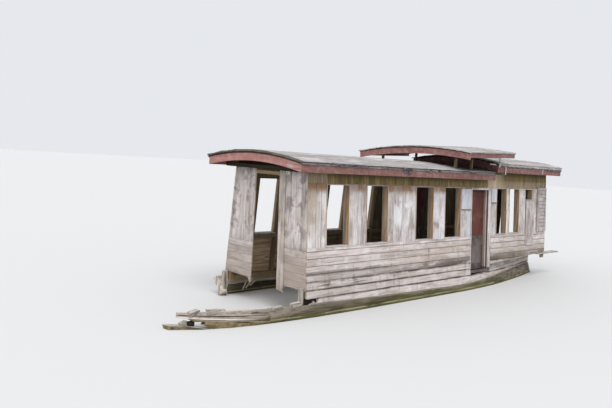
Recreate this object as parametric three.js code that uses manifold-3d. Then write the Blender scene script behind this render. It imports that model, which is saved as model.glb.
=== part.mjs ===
// Wooden river cabin boat: a long keeled hull with a boarded cabin, an arched main roof,
// a short raised canopy over the side doors and a higher stern roof.
// Millimetres. +X towards the bow, +Y to port, +Z up. The origin is on the waterline, amidships.

import * as THREE from "three";
import { mergeVertices } from "three/addons/utils/BufferGeometryUtils.js";
import Module from "manifold-3d";

const wasm = await Module();
wasm.setup();

// Driving dimensions
const FIT = 0.3; // gap kept between two pieces that touch
const FRONT = 3600; // outer face of the cabin's front wall
const CABIN_LENGTH = 8990;
const AFT = FRONT - CABIN_LENGTH;
const WALL_HALF = 1016; // half width of the cabin at WALL_DATUM
const WALL_DATUM = 440;
const TUMBLEHOME = THREE.MathUtils.degToRad(3.8);
const SKIN = 22; // thickness of the wall boards
const END_WALL = 25; // thickness of the front and aft walls
const STUD_DEPTH = 105;
const STUD_WIDTH = 42;
const SILL = 1130;
const WINDOW_HEAD = 2205;
const MAIN_WALL_TOP = 2400;
const STERN_WALL_TOP = 2570;
const DOOR = { from: 5270, to: 6010, post: 130, bottom: 345, head: 2215 };
const STERN_BOARDS_FROM = DOOR.to + DOOR.post + 5;

// Roofs: arcs of a circle over the given half width, rising to the crown
const MAIN_ROOF = { from: 430, to: -6120, half: 1140, eave: 2565, rise: 121, deck: 43, fascia: 130 };
const STERN_ROOF = { from: -5920, to: -9240, half: 1140, eave: 2780, rise: 121, deck: 43, fascia: 165 };
const CANOPY = {
  from: -4180, to: -6100, half: 1425, eave: 2905, rise: 115, deck: 30, fascia: 125, eaveFascia: 82,
};
const CANOPY_TILT = THREE.MathUtils.degToRad(1.8); // its port edge stands the higher
const CANOPY_PITCH = THREE.MathUtils.degToRad(2.1); // and so does its aft end
const RIB = { width: 45, depth: 60 };
const FASCIA_BOARD = 24;
const ARC_STEPS = 14;
const BEYOND = 5000; // past every piece of the boat, for the tools that cut

// Hull
const PLANK = 40; // thickness of the hull shell
const SHELL_TOP = -20;
const KEEL = { width: 80, depth: 110 };
const TRANSOM = 40;
const STATION_STEP = 420;
const BOW_PLANK_END = 2200; // forward end of the wale's upper part
const BOW_LOWER_END = 2400; // and of the tongue left below the gap
const BOW_GAP = { from: 1860, low: 62, high: 108 };
const SHELL_BOW_END = 2750;
const HULL_STERN = -9150;

// Hull stations. ahead: distance ahead of the front wall; half: half breadth at the waterline;
// keel: depth of the shell; wale: top of the wale; sheer: top of the sheer plank
const STATIONS = [
  { ahead: 2750, half: 130, keel: -190, wale: 200, sheer: 292 },
  { ahead: 2400, half: 500, keel: -300, wale: 225, sheer: 292 },
  { ahead: 2000, half: 745, keel: -380, wale: 255, sheer: 292 },
  { ahead: 1400, half: 945, keel: -450, wale: 270, sheer: 292 },
  { ahead: 500, half: 1080, keel: -500, wale: 205, sheer: 292 },
  { ahead: -600, half: 1145, keel: -520, wale: 190, sheer: 292 },
  { ahead: -3000, half: 1170, keel: -530, wale: 140, sheer: 291 },
  { ahead: -5200, half: 1170, keel: -520, wale: 124, sheer: 288 },
  { ahead: -6200, half: 1105, keel: -500, wale: 160, sheer: 317 },
  { ahead: -7200, half: 975, keel: -460, wale: 218, sheer: 365 },
  { ahead: -8200, half: 810, keel: -400, wale: 240, sheer: 385 },
  { ahead: -9150, half: 610, keel: -320, wale: 252, sheer: 392 },
];

// Openings in the side walls. from, to: distances aft of the front wall; sill, head: heights
const PORT_OPENINGS = [
  { name: "window_1", from: 495, to: 1100, sill: SILL, head: WINDOW_HEAD },
  { name: "window_2", from: 1585, to: 2235, sill: SILL, head: WINDOW_HEAD },
  { name: "window_3", from: 3145, to: 3775, sill: SILL, head: WINDOW_HEAD },
  { name: "window_4", from: 4200, to: 4840, sill: SILL, head: WINDOW_HEAD },
  { name: "stern_window_1", from: 6400, to: 6890, sill: SILL, head: WINDOW_HEAD },
  { name: "stern_window_2", from: 7030, to: 7530, sill: SILL, head: WINDOW_HEAD },
  { name: "small_window", from: 7850, to: 8235, sill: 1925, head: WINDOW_HEAD },
];
const STARBOARD_OPENINGS = [
  { name: "window_1", from: 495, to: 1080, sill: SILL, head: WINDOW_HEAD },
  { name: "window_2", from: 1500, to: 2110, sill: SILL, head: WINDOW_HEAD },
  { name: "window_3", from: 2480, to: 3090, sill: SILL, head: WINDOW_HEAD },
  { name: "window_4", from: 3450, to: 4060, sill: SILL, head: WINDOW_HEAD },
];
const BLIND_STUDS = [6860, 7610, 8340]; // behind the starboard stern wall, which has no window
const SHUTTER = { from: 8475, to: 8960, bottom: 1139, top: 2240, frame: 55, slats: 11, slatThick: 9 };

// Heights of the lapped planks' lower edges, and how far each stands proud of the wall
const LAPPED_ROWS = [
  { edge: 295, proud: 26 },
  { edge: 437, proud: 26 },
  { edge: 564, proud: 15 },
  { edge: 698, proud: 13 },
  { edge: 831, proud: 13 },
  { edge: 958, proud: 13 },
  { edge: 1078, proud: 12 },
];
const STERN_WALL_FOOT = { near: 487, far: 640 };

const COLOURS = {
  wall: 0xb5aaa2,
  lower: 0xa89c93,
  frieze: 0xa08a68,
  framing: 0x6b5238,
  maroon: 0x8a5450,
  roof: 0xb9b4ab,
  hull: 0x7d7257,
  bottom: 0x4c4a36,
  post: 0xb09a84,
  floor: 0x6e6152,
  door: 0x6a4a48,
};

const group = new THREE.Group();

// Solids
function toSolid(geometry) {
  const bare = geometry.clone();
  bare.deleteAttribute("normal");
  bare.deleteAttribute("uv");
  const merged = mergeVertices(bare, 1e-3);
  const vertProperties = new Float32Array(merged.attributes.position.array);
  const triVerts = new Uint32Array(merged.index.array);
  return new wasm.Manifold(new wasm.Mesh({ numProp: 3, vertProperties, triVerts }));
}

function toGeometry(solid) {
  const mesh = solid.getMesh();
  const geometry = new THREE.BufferGeometry();
  geometry.setAttribute("position", new THREE.BufferAttribute(new Float32Array(mesh.vertProperties), 3));
  geometry.setIndex(new THREE.BufferAttribute(new Uint32Array(mesh.triVerts), 1));
  geometry.computeVertexNormals();
  return geometry;
}

function joined(...geometries) {
  return toGeometry(geometries.map(toSolid).reduce((sum, next) => sum.add(next)));
}

function cut(geometry, ...tools) {
  return toGeometry(tools.map(toSolid).reduce((rest, tool) => rest.subtract(tool), toSolid(geometry)));
}

function block(x0, x1, y0, y1, z0, z1) {
  const geometry = new THREE.BoxGeometry(Math.abs(x1 - x0), Math.abs(y1 - y0), Math.abs(z1 - z0));
  return geometry.translate((x0 + x1) / 2, (y0 + y1) / 2, (z0 + z1) / 2);
}

function outline(points) {
  return new THREE.Shape(points.map(([u, v]) => new THREE.Vector2(u, v)));
}

const extruded = (shape, depth) => new THREE.ExtrudeGeometry(shape, { depth, bevelEnabled: false, steps: 1 });

// An outline in Y and Z, extruded from x0 to x1
function alongX(points, x0, x1) {
  const turn = new THREE.Matrix4().makeBasis(
    new THREE.Vector3(0, 1, 0),
    new THREE.Vector3(0, 0, 1),
    new THREE.Vector3(1, 0, 0),
  );
  return extruded(outline(points), x1 - x0).applyMatrix4(turn).translate(x0, 0, 0);
}

// An outline in X and Y, extruded from z0 to z1
function alongZ(points, z0, z1) {
  return extruded(outline(points), z1 - z0).translate(0, 0, z0);
}

// An outline in X and Z, extruded to both sides of the centreline
function alongY(points, thick) {
  const turn = new THREE.Matrix4().makeBasis(
    new THREE.Vector3(1, 0, 0),
    new THREE.Vector3(0, 0, 1),
    new THREE.Vector3(0, -1, 0),
  );
  return extruded(outline(points), thick).applyMatrix4(turn).translate(0, thick / 2, 0);
}

// A closed skin over rings of points, with flat ends
function loft(rings) {
  const count = rings[0].length;
  const positions = rings.flat(2);
  const index = [];
  for (let ring = 0; ring + 1 < rings.length; ring += 1) {
    for (let k = 0; k < count; k += 1) {
      const a = ring * count + k;
      const b = ring * count + ((k + 1) % count);
      index.push(a, b, a + count, b, b + count, a + count);
    }
  }
  const flat = (ring) => ring.map(([, y, z]) => new THREE.Vector2(y, z));
  const last = (rings.length - 1) * count;
  const clockwise = THREE.ShapeUtils.isClockWise(flat(rings[0]));
  for (const [a, b, c] of THREE.ShapeUtils.triangulateShape(flat(rings[0]), [])) {
    index.push(...(clockwise ? [a, b, c] : [a, c, b]));
  }
  for (const [a, b, c] of THREE.ShapeUtils.triangulateShape(flat(rings[rings.length - 1]), [])) {
    index.push(...(clockwise ? [last + a, last + c, last + b] : [last + a, last + b, last + c]));
  }
  const geometry = new THREE.BufferGeometry();
  geometry.setAttribute("position", new THREE.Float32BufferAttribute(positions, 3));
  geometry.setIndex(index);
  return facingOut(geometry);
}

function facingOut(geometry) {
  const p = geometry.attributes.position;
  const at = (i) => new THREE.Vector3().fromBufferAttribute(p, i);
  const order = geometry.index.array;
  let volume = 0;
  for (let i = 0; i < order.length; i += 3) {
    volume += at(order[i]).dot(at(order[i + 1]).cross(at(order[i + 2])));
  }
  if (volume < 0) {
    for (let i = 0; i < order.length; i += 3) {
      [order[i], order[i + 1]] = [order[i + 1], order[i]];
    }
  }
  geometry.computeVertexNormals();
  return geometry;
}

function add(name, geometry, colour, parent = group) {
  const material = new THREE.MeshStandardMaterial({ color: colour, roughness: 0.85, metalness: 0 });
  const mesh = new THREE.Mesh(geometry, material);
  mesh.name = name;
  parent.add(mesh);
  return mesh;
}

// Hull lines: smooth between the stations, then straight between the planking stations
const spread = (aft, fore, step) => {
  const count = Math.round((fore - aft) / step);
  return Array.from({ length: count + 1 }, (_, k) => aft + ((fore - aft) * k) / count);
};
const PLANKING = spread(HULL_STERN, SHELL_BOW_END, STATION_STEP);

function line(column) {
  const rows = [...STATIONS].reverse();
  const smooth = new THREE.CubicInterpolant(rows.map((row) => row.ahead), rows.map((row) => row[column]), 1);
  const values = PLANKING.map((ahead) => smooth.evaluate(ahead)[0]);
  const straight = new THREE.LinearInterpolant(PLANKING, values, 1);
  return (ahead) => straight.evaluate(ahead)[0];
}
const HULL = {
  half: line("half"),
  keel: line("keel"),
  wale: line("wale"),
  sheer: line("sheer"),
};

function stationsBetween(aft, fore) {
  return [aft, ...PLANKING.filter((ahead) => ahead > aft + 1 && ahead < fore - 1), fore];
}

// Half of the shell's section: a rounded bilge from the waterline down to the keel
const BILGE_POWER = 2.4;
const BILGE_ANGLES = [0, 14, 27, 40, 54, 70, 90];
function bilge(half, depth) {
  return BILGE_ANGLES.map((angle, k) => {
    const turn = THREE.MathUtils.degToRad(angle);
    const y = angle === 90 ? 0 : half * Math.cos(turn) ** (2 / BILGE_POWER);
    const z = k === 0 ? SHELL_TOP : depth * Math.sin(turn) ** (2 / BILGE_POWER);
    return [y, z];
  });
}

function wholeSection(half, depth) {
  const portSide = bilge(half, depth);
  const starboardSide = portSide.slice(0, -1).reverse().map(([y, z]) => [-y, z]);
  return [...portSide, ...starboardSide];
}

function shellRing(ahead) {
  const outer = wholeSection(HULL.half(ahead), HULL.keel(ahead));
  const inner = wholeSection(HULL.half(ahead) - PLANK, HULL.keel(ahead) + PLANK).reverse();
  return [...outer, ...inner].map(([y, z]) => [FRONT + ahead, y, z]);
}

// A strake: outer and inner half breadth, bottom and top, as functions of the station
function strake(side, aft, fore, { outerLow, outerHigh, thick, low, high }) {
  const ring = (ahead) => [
    [FRONT + ahead, side * outerLow(ahead), low(ahead)],
    [FRONT + ahead, side * outerHigh(ahead), high(ahead)],
    [FRONT + ahead, side * (outerHigh(ahead) - thick), high(ahead)],
    [FRONT + ahead, side * (outerHigh(ahead) - thick), low(ahead)],
  ];
  return loft(stationsBetween(aft, fore).map(ring));
}

const WALE_FLARE = 85; // the wale leans in by this much over its height
const STARBOARD_WALE_END = -100;
const SHEER_END = -60;
const SHEER_LEAN = 6;
const QUARTER_INSET = 8;
const sheerHalf = (ahead) => HULL.half(ahead) - 118;

function buildHull() {
  const shell = loft(stationsBetween(HULL_STERN, SHELL_BOW_END).map(shellRing));
  add("hull_bottom", shell, COLOURS.bottom);

  const keelRing = (ahead) => {
    const top = HULL.keel(ahead) - FIT;
    const w = KEEL.width / 2;
    return [[-w, top], [w, top], [w, top - KEEL.depth], [-w, top - KEEL.depth]]
      .map(([y, z]) => [FRONT + ahead, y, z]);
  };
  add("keel", loft(stationsBetween(HULL_STERN, SHELL_BOW_END - 100).map(keelRing)), COLOURS.bottom);

  const stem = { x0: FRONT + SHELL_BOW_END + FIT, length: 130, half: 110, top: -40, bottom: -300 };
  const stemPlan = [
    [stem.x0, -stem.half], [stem.x0 + stem.length, -30], [stem.x0 + stem.length, 30], [stem.x0, stem.half],
  ];
  add("stem_stub", alongZ(stemPlan, stem.bottom, stem.top), COLOURS.bottom);

  const gap = block(FRONT + BOW_GAP.from, BEYOND * 2, 0, BEYOND, BOW_GAP.low, BOW_GAP.high);
  const lost = block(FRONT + BOW_PLANK_END, BEYOND * 2, 0, BEYOND, BOW_GAP.low, BEYOND);
  const quarterTop = soffitUnder(-CABIN_LENGTH);
  for (const [name, side, fore] of [["port", 1, BOW_LOWER_END], ["starboard", -1, STARBOARD_WALE_END]]) {
    const wale = strake(side, HULL_STERN, fore, {
      outerLow: HULL.half,
      outerHigh: (ahead) => HULL.half(ahead) - WALE_FLARE,
      thick: PLANK,
      low: () => SHELL_TOP + FIT,
      high: HULL.wale,
    });
    add(`${name}_wale`, cut(wale, gap, lost), COLOURS.hull);
    add(`${name}_sheer_plank`, strake(side, HULL_STERN, SHEER_END, {
      outerLow: (ahead) => sheerHalf(ahead) + SHEER_LEAN,
      outerHigh: sheerHalf,
      thick: PLANK,
      low: (ahead) => HULL.wale(ahead) + FIT,
      high: HULL.sheer,
    }), COLOURS.lower);
    add(`${name}_quarter_plank`, strake(side, HULL_STERN, -STERN_BOARDS_FROM, {
      outerLow: (ahead) => sheerHalf(ahead) - QUARTER_INSET,
      outerHigh: (ahead) => sheerHalf(ahead) - QUARTER_INSET,
      thick: PLANK - QUARTER_INSET,
      low: (ahead) => HULL.sheer(ahead) + FIT,
      high: (ahead) => Math.min(soffitUnder(ahead), quarterTop) - FIT,
    }), COLOURS.lower);
  }
}

// The stern walls' lower edge rises towards the aft corner, where it levels out over the stern
const SOFFIT = { drop: 1.9, thick: 23 };
function slopedFoot(ahead) {
  const along = (-ahead - STERN_BOARDS_FROM) / (CABIN_LENGTH - STERN_BOARDS_FROM);
  return THREE.MathUtils.lerp(STERN_WALL_FOOT.near, STERN_WALL_FOOT.far, along);
}
const sternFoot = (ahead) => Math.min(STERN_WALL_FOOT.far, slopedFoot(ahead));
const soffitUnder = (ahead) => slopedFoot(ahead) - SOFFIT.drop - SOFFIT.thick;

// Inside the hull, and at its two ends
const FLOOR = { top: 325, boards: 34, from: 3900, beam: 62, beamWidth: 80, beamStep: 1000 };
const TIMBER = { width: 70, height: 90, top: -110, count: 11, from: -8600, step: 1000 };
const KEELSON = { from: -8700, to: 1700, half: 55, top: -280 };

function buildInside() {
  const { width, height, top } = TIMBER;
  const frames = Array.from({ length: TIMBER.count }, (_, k) => {
    const ahead = TIMBER.from + k * TIMBER.step;
    const half = Math.min(HULL.half(ahead), HULL.half(ahead + width)) - PLANK - FIT;
    const depth = Math.max(HULL.keel(ahead), HULL.keel(ahead + width)) + PLANK + FIT;
    const outer = wholeSection(half, depth).filter(([, z]) => z < top);
    const inner = wholeSection(half - height, depth + height).filter(([, z]) => z < top);
    return alongX([...outer, ...inner.reverse()], FRONT + ahead, FRONT + ahead + width);
  });
  const keelsonRing = (ahead) => {
    const inside = bilge(HULL.half(ahead) - PLANK, HULL.keel(ahead) + PLANK);
    const [[y, z], [, lowest]] = inside.slice(-2);
    const low = lowest + FIT;
    const edge = low + ((z - lowest) * KEELSON.half) / y;
    const { half, top: flat } = KEELSON;
    return [[0, low], [half, edge], [half, flat], [-half, flat], [-half, edge]]
      .map(([across, height]) => [FRONT + ahead, across, height]);
  };
  const keelson = loft(stationsBetween(KEELSON.from, KEELSON.to).map(keelsonRing));
  add("floor_timbers", joined(keelson, ...frames), COLOURS.bottom);

  // The floor is left only in the aft half; its beams lie between the sheer planks
  const betweenPlanks = (ahead) => sheerHalf(ahead) - PLANK - 0.5;
  const betweenWalls = (ahead) => Math.min(betweenPlanks(ahead), WALL_HALF - DOOR_FRAME.depth - 8);
  const slab = (half, aft, fore, low, high) => {
    const ring = (ahead) => {
      const reach = half(ahead);
      return [[reach, low], [reach, high], [-reach, high], [-reach, low]]
        .map(([y, z]) => [FRONT + ahead, y, z]);
    };
    return loft(stationsBetween(aft, fore).map(ring));
  };
  const under = FLOOR.top - FLOOR.boards;
  const boards = slab(betweenWalls, -CABIN_LENGTH + 60, -FLOOR.from, under, FLOOR.top);
  const beams = [];
  for (let at = FLOOR.from + 20; at < CABIN_LENGTH - 100; at += FLOOR.beamStep) {
    beams.push(slab(betweenPlanks, -at - FLOOR.beamWidth, -at, under - FLOOR.beam, under + 1));
  }
  add("cabin_floor", joined(boards, ...beams), COLOURS.floor);
}

const GUDGEON = { out: 95, half: 45, thick: 30, heights: [-200, 380], hole: 25.6 };
const STOCK = { radius: 25, aft: 65, low: -620, high: 590, sides: 24 };
const BLADE = { chord: 560, thick: 36, low: -620, high: -40, strap: 6 };
const TRANSOM_AFT = FRONT + HULL_STERN - FIT - TRANSOM;

function buildTransom() {
  const half = HULL.half(HULL_STERN);
  const head = STERN_WALL_FOOT.far - SOFFIT.drop - SOFFIT.thick - FIT;
  const above = [[sheerHalf(HULL_STERN), 150], [sheerHalf(HULL_STERN), head]];
  const under = bilge(half, HULL.keel(HULL_STERN)).slice(0, -1);
  const portSide = [...above.reverse(), ...under];
  const starboardSide = portSide.slice().reverse().map(([y, z]) => [-y, z]);
  const ring = [...portSide, [0, HULL.keel(HULL_STERN)], ...starboardSide];
  const plate = alongX(ring, TRANSOM_AFT, TRANSOM_AFT + TRANSOM);
  const gudgeons = GUDGEON.heights.map((z) =>
    block(TRANSOM_AFT - GUDGEON.out, TRANSOM_AFT + 1, -GUDGEON.half, GUDGEON.half, z, z + GUDGEON.thick));
  const hole = new THREE.CylinderGeometry(GUDGEON.hole, GUDGEON.hole, BEYOND, STOCK.sides)
    .rotateX(Math.PI / 2).translate(TRANSOM_AFT - STOCK.aft, 0, 0);
  add("transom", cut(joined(plate, ...gudgeons), hole), COLOURS.lower);
}

function buildRudder() {
  const x = TRANSOM_AFT - STOCK.aft;
  const stock = new THREE.CylinderGeometry(STOCK.radius, STOCK.radius, STOCK.high - STOCK.low, STOCK.sides)
    .rotateX(Math.PI / 2).translate(x, 0, (STOCK.high + STOCK.low) / 2);
  const lowest = GUDGEON.heights[0];
  const { chord, low, high } = BLADE;
  const blade = alongY([
    [x - 12, low], [x - 12, lowest - 12], [x - 60, lowest - 12], [x - 60, high],
    [x - 0.75 * chord, high - 40], [x - chord, high - 190], [x - chord, low + 90], [x - 0.85 * chord, low],
  ], BLADE.thick);
  const half = BLADE.thick / 2 + BLADE.strap;
  const strap = block(x - 150, x, -half, half, lowest + 60, lowest + 100);
  add("rudder", joined(stock, blade, strap), COLOURS.bottom);
}

// The side walls are built upright in a frame of their own, y outwards, then leaned in
function wallFrame(side) {
  const frame = new THREE.Group();
  frame.position.set(0, side * WALL_HALF, WALL_DATUM);
  frame.rotation.x = side * TUMBLEHOME;
  group.add(frame);
  return frame;
}
const up = (z) => (z - WALL_DATUM) / Math.cos(TUMBLEHOME);

const BASE_LAYER = 8; // the pier boards stand this far out from the layer behind
const PIER_TOP = WINDOW_HEAD + 8;
const JOINT = { width: 7, depth: 6 };
// Joints between the upright boards: distances aft of the front wall
const PIER_JOINTS = [230, 1330, 1440, 2410, 2680, 2920, 3990, 5040, 7690, 8350];

function uprightBoards(side, from, to, openings, top, joints) {
  const x0 = FRONT - from;
  const x1 = FRONT - to;
  const back = block(x0, x1, -side * SKIN, -side * BASE_LAYER, up(SILL) + FIT, up(top));
  const face = block(x0, x1, -side * (BASE_LAYER + 1), 0, up(SILL) + FIT, up(PIER_TOP));
  const foot = up(SILL) - SKIN;
  const holes = openings.map((o) => {
    const sill = o.sill === SILL ? foot : up(o.sill);
    return block(FRONT - o.from, FRONT - o.to, -STUD_DEPTH, STUD_DEPTH, sill, up(o.head));
  });
  const grooves = joints.map((at) =>
    block(FRONT - at, FRONT - at - JOINT.width, -side * JOINT.depth, side * SKIN, foot, up(PIER_TOP) + 5));
  return cut(joined(back, face), ...holes, ...grooves);
}

function lappedPlanks(side, from, to, footCut) {
  const profile = [[-SKIN, up(SILL)], [-SKIN, up(LAPPED_ROWS[0].edge)]];
  LAPPED_ROWS.forEach((row, k) => {
    const next = LAPPED_ROWS[k + 1] ? LAPPED_ROWS[k + 1].edge : SILL;
    profile.push([row.proud, up(row.edge)], [k < 2 ? 15 : 2, up(next)]);
  });
  const planks = alongX(profile.map(([y, z]) => [side * y, z]), FRONT - to, FRONT - from);
  return footCut ? cut(planks, footCut) : planks;
}

// The timbers behind the boards: a frame below the sills on each side of the door, and posts
// that hang from the head rail between the windows
const END_STUD = 70;
const RAIL = 75;
const FRAMING_FOOT = 312;
const STERN_FRAMING_FOOT = STERN_WALL_FOOT.far + 8;
function framingBar(side) {
  const inner = -side * (SKIN + FIT + STUD_DEPTH);
  const outer = -side * (SKIN + FIT);
  return (from, to, low, high) => block(FRONT - from, FRONT - to, inner, outer, up(low), up(high));
}

const studsOf = (openings) => openings.flatMap((o) => [o.from - STUD_WIDTH, o.to]);
const CABIN_START = END_WALL + FIT;
const CABIN_END = CABIN_LENGTH - END_WALL - FIT;
const DOOR_STUD = DOOR.from - STUD_WIDTH - FIT;

function foreSillFrame(side, openings) {
  const bar = framingBar(side);
  const studs = [...studsOf(openings), DOOR_STUD];
  return joined(
    bar(CABIN_START, CABIN_START + END_STUD, FRAMING_FOOT, SILL),
    bar(CABIN_START, DOOR.from - FIT, SILL - RAIL, SILL),
    bar(CABIN_START, DOOR.from - FIT, FRAMING_FOOT, FRAMING_FOOT + RAIL),
    ...studs.map((at) => bar(at, at + STUD_WIDTH, FRAMING_FOOT, SILL)),
  );
}

function sternSillFrame(side, studs) {
  const bar = framingBar(side);
  return joined(
    bar(CABIN_END - END_STUD, CABIN_END, STERN_FRAMING_FOOT, SILL),
    bar(STERN_BOARDS_FROM, CABIN_END, SILL - RAIL, SILL),
    bar(STERN_BOARDS_FROM, CABIN_END, STERN_FRAMING_FOOT, STERN_FRAMING_FOOT + RAIL),
    bar(STERN_BOARDS_FROM, STERN_BOARDS_FROM + STUD_WIDTH, STERN_WALL_FOOT.near + 33, SILL),
    ...studs.map((at) => bar(at, at + STUD_WIDTH, STERN_FRAMING_FOOT, SILL)),
  );
}

function windowPosts(side, fore, stern, sternStuds) {
  const bar = framingBar(side);
  const foot = SILL + FIT;
  const foreStuds = [...studsOf(fore), DOOR_STUD];
  return joined(
    bar(CABIN_START, CABIN_START + END_STUD, foot, MAIN_WALL_TOP),
    bar(CABIN_START, STERN_BOARDS_FROM + 1, WINDOW_HEAD, MAIN_WALL_TOP),
    bar(STERN_BOARDS_FROM, CABIN_END, WINDOW_HEAD, STERN_WALL_TOP),
    bar(STERN_BOARDS_FROM, STERN_BOARDS_FROM + STUD_WIDTH, foot, WINDOW_HEAD + 1),
    bar(CABIN_END - END_STUD, CABIN_END, foot, WINDOW_HEAD + 1),
    ...[...foreStuds, ...sternStuds].map((at) => bar(at, at + STUD_WIDTH, foot, WINDOW_HEAD + 1)),
    ...stern.filter((o) => o.sill > SILL).map((o) => bar(o.from - 1, o.to + 1, o.sill - 60, o.sill)),
  );
}

// Butt hinges: a moving knuckle between two fixed ones, each on a flap of its own
const HINGE = { radius: 8, half: 20, end: 52, sides: 12 };
function hinge(x, y, height, movingFlap, fixedFlap) {
  const piece = (low, high, [x0, x1, y0, y1]) => joined(
    new THREE.CylinderGeometry(HINGE.radius, HINGE.radius, high - low, HINGE.sides)
      .rotateX(Math.PI / 2).translate(x, y, (low + high) / 2),
    block(x0, x1, y0, y1, low, high),
  );
  const z = up(height);
  return {
    moving: piece(z - HINGE.half, z + HINGE.half, movingFlap),
    fixed: [
      piece(z + HINGE.half + FIT, z + HINGE.end, fixedFlap),
      piece(z - HINGE.end, z - HINGE.half - FIT, fixedFlap),
    ],
  };
}

const DOOR_FRAME = { depth: 146, head: 45, fore: 30, threshold: 54, foot: 328 };
const DOOR_PIN = { gap: 3, inset: 9, heights: [600, 1950] };
function doorHinges(side) {
  const jamb = FRONT - DOOR.from - DOOR_FRAME.fore;
  const x = jamb - DOOR_PIN.gap;
  const y = -side * (DOOR_FRAME.depth + DOOR_PIN.inset);
  const leafFace = -side * (LEAF.recess + LEAF.thick - 1);
  const frameFace = -side * (DOOR_FRAME.depth - 1);
  return DOOR_PIN.heights.map((height) => hinge(
    x, y, height,
    [x - 40, x, leafFace, leafFace - side * 8],
    [x, jamb + DOOR_FRAME.fore - 2, frameFace, frameFace - side * 8],
  ));
}

function doorFrame(side) {
  const y0 = side * 4;
  const y1 = -side * DOOR_FRAME.depth;
  const low = DOOR_FRAME.foot;
  const bar = (from, to, a, b) => block(FRONT - from, FRONT - to, y0, y1, up(a), up(b));
  const end = DOOR.to + DOOR.post;
  const top = WINDOW_HEAD - FIT;
  return joined(
    bar(DOOR.from + FIT, DOOR.from + DOOR_FRAME.fore, low, top),
    bar(DOOR.to, end, low, top),
    bar(DOOR.from + FIT, end, top - DOOR_FRAME.head, top),
    bar(DOOR.from + FIT, end, low, low + DOOR_FRAME.threshold),
    ...doorHinges(side).flatMap((one) => one.fixed),
  );
}

// The leaf's foot clears the cabin floor, because its inner edge dips as it opens about the leaning jamb
const LEAF = { thick: 32, bottom: 394, recess: 112, edge: 8, ledge: 90, ledgeThick: 14 };
function doorLeaf(side) {
  const from = DOOR.from + DOOR_FRAME.fore + LEAF.edge;
  const to = DOOR.to - LEAF.edge;
  const top = WINDOW_HEAD - DOOR_FRAME.head - 8;
  const y0 = -side * LEAF.recess;
  const y1 = -side * (LEAF.recess + LEAF.thick);
  const panel = block(FRONT - from, FRONT - to, y0, y1, up(LEAF.bottom), up(top));
  const ledge = (z) => block(
    FRONT - from - 30, FRONT - to + 30, y0, y0 + side * LEAF.ledgeThick, up(z), up(z + LEAF.ledge),
  );
  const ledges = [SILL - LEAF.ledge / 2, LEAF.bottom + 40, top - LEAF.ledge - 40].map(ledge);
  const knuckles = doorHinges(side).map((one) => one.moving);
  return joined(panel, ...ledges, ...knuckles);
}

// The stern shutters swing out, on brackets that stand on the wall's boards
const SHUTTER_FACE = { inner: 6, outer: 34 };
const SHUTTER_PIN = { gap: 3, out: 42, heights: [1290, 2060] };
function shutterHinges(side) {
  const x = FRONT - SHUTTER.from + SHUTTER_PIN.gap;
  const y = side * SHUTTER_PIN.out;
  return SHUTTER_PIN.heights.map((height) => hinge(
    x, y, height,
    [x - 40, x, side * (SHUTTER_FACE.outer - 1), side * (SHUTTER_FACE.outer + 5)],
    [x + 5, x + 30, -side, y],
  ));
}

function shutter(side) {
  const y0 = side * SHUTTER_FACE.inner;
  const y1 = side * SHUTTER_FACE.outer;
  const { from, to, bottom, top, frame } = SHUTTER;
  const bar = (a, b, low, high) => block(FRONT - a, FRONT - b, y0, y1, up(low), up(high));
  const pieces = [
    bar(from, from + frame, bottom, top), bar(to - frame, to, bottom, top),
    bar(from, to, bottom, bottom + frame), bar(from, to, top - frame, top),
  ];
  const pitch = (top - bottom - 2 * frame) / SHUTTER.slats;
  const slatHeight = pitch * 1.05;
  const tilt = Math.asin((SHUTTER_FACE.outer - SHUTTER_FACE.inner - SHUTTER.slatThick - 2) / slatHeight);
  for (let k = 0; k < SHUTTER.slats; k += 1) {
    const z = up(bottom + frame + (k + 0.5) * pitch);
    const slat = new THREE.BoxGeometry(to - from - 2 * frame + 2, SHUTTER.slatThick, slatHeight)
      .rotateX(side * tilt);
    pieces.push(slat.translate(FRONT - (from + to) / 2, (y0 + y1) / 2, z));
  }
  return joined(...pieces, ...shutterHinges(side).map((one) => one.moving));
}

// What the stern walls' sloping foot cuts away, in the frame of a side wall
function belowFoot(side) {
  const ring = (ahead) => {
    const high = up(slopedFoot(ahead));
    return [[-200, -BEYOND], [200, -BEYOND], [200, high], [-200, high]]
      .map(([y, z]) => [FRONT + ahead, side * y, z]);
  };
  return loft([-STERN_BOARDS_FROM + 200, -CABIN_LENGTH - 100].map(ring));
}

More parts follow.
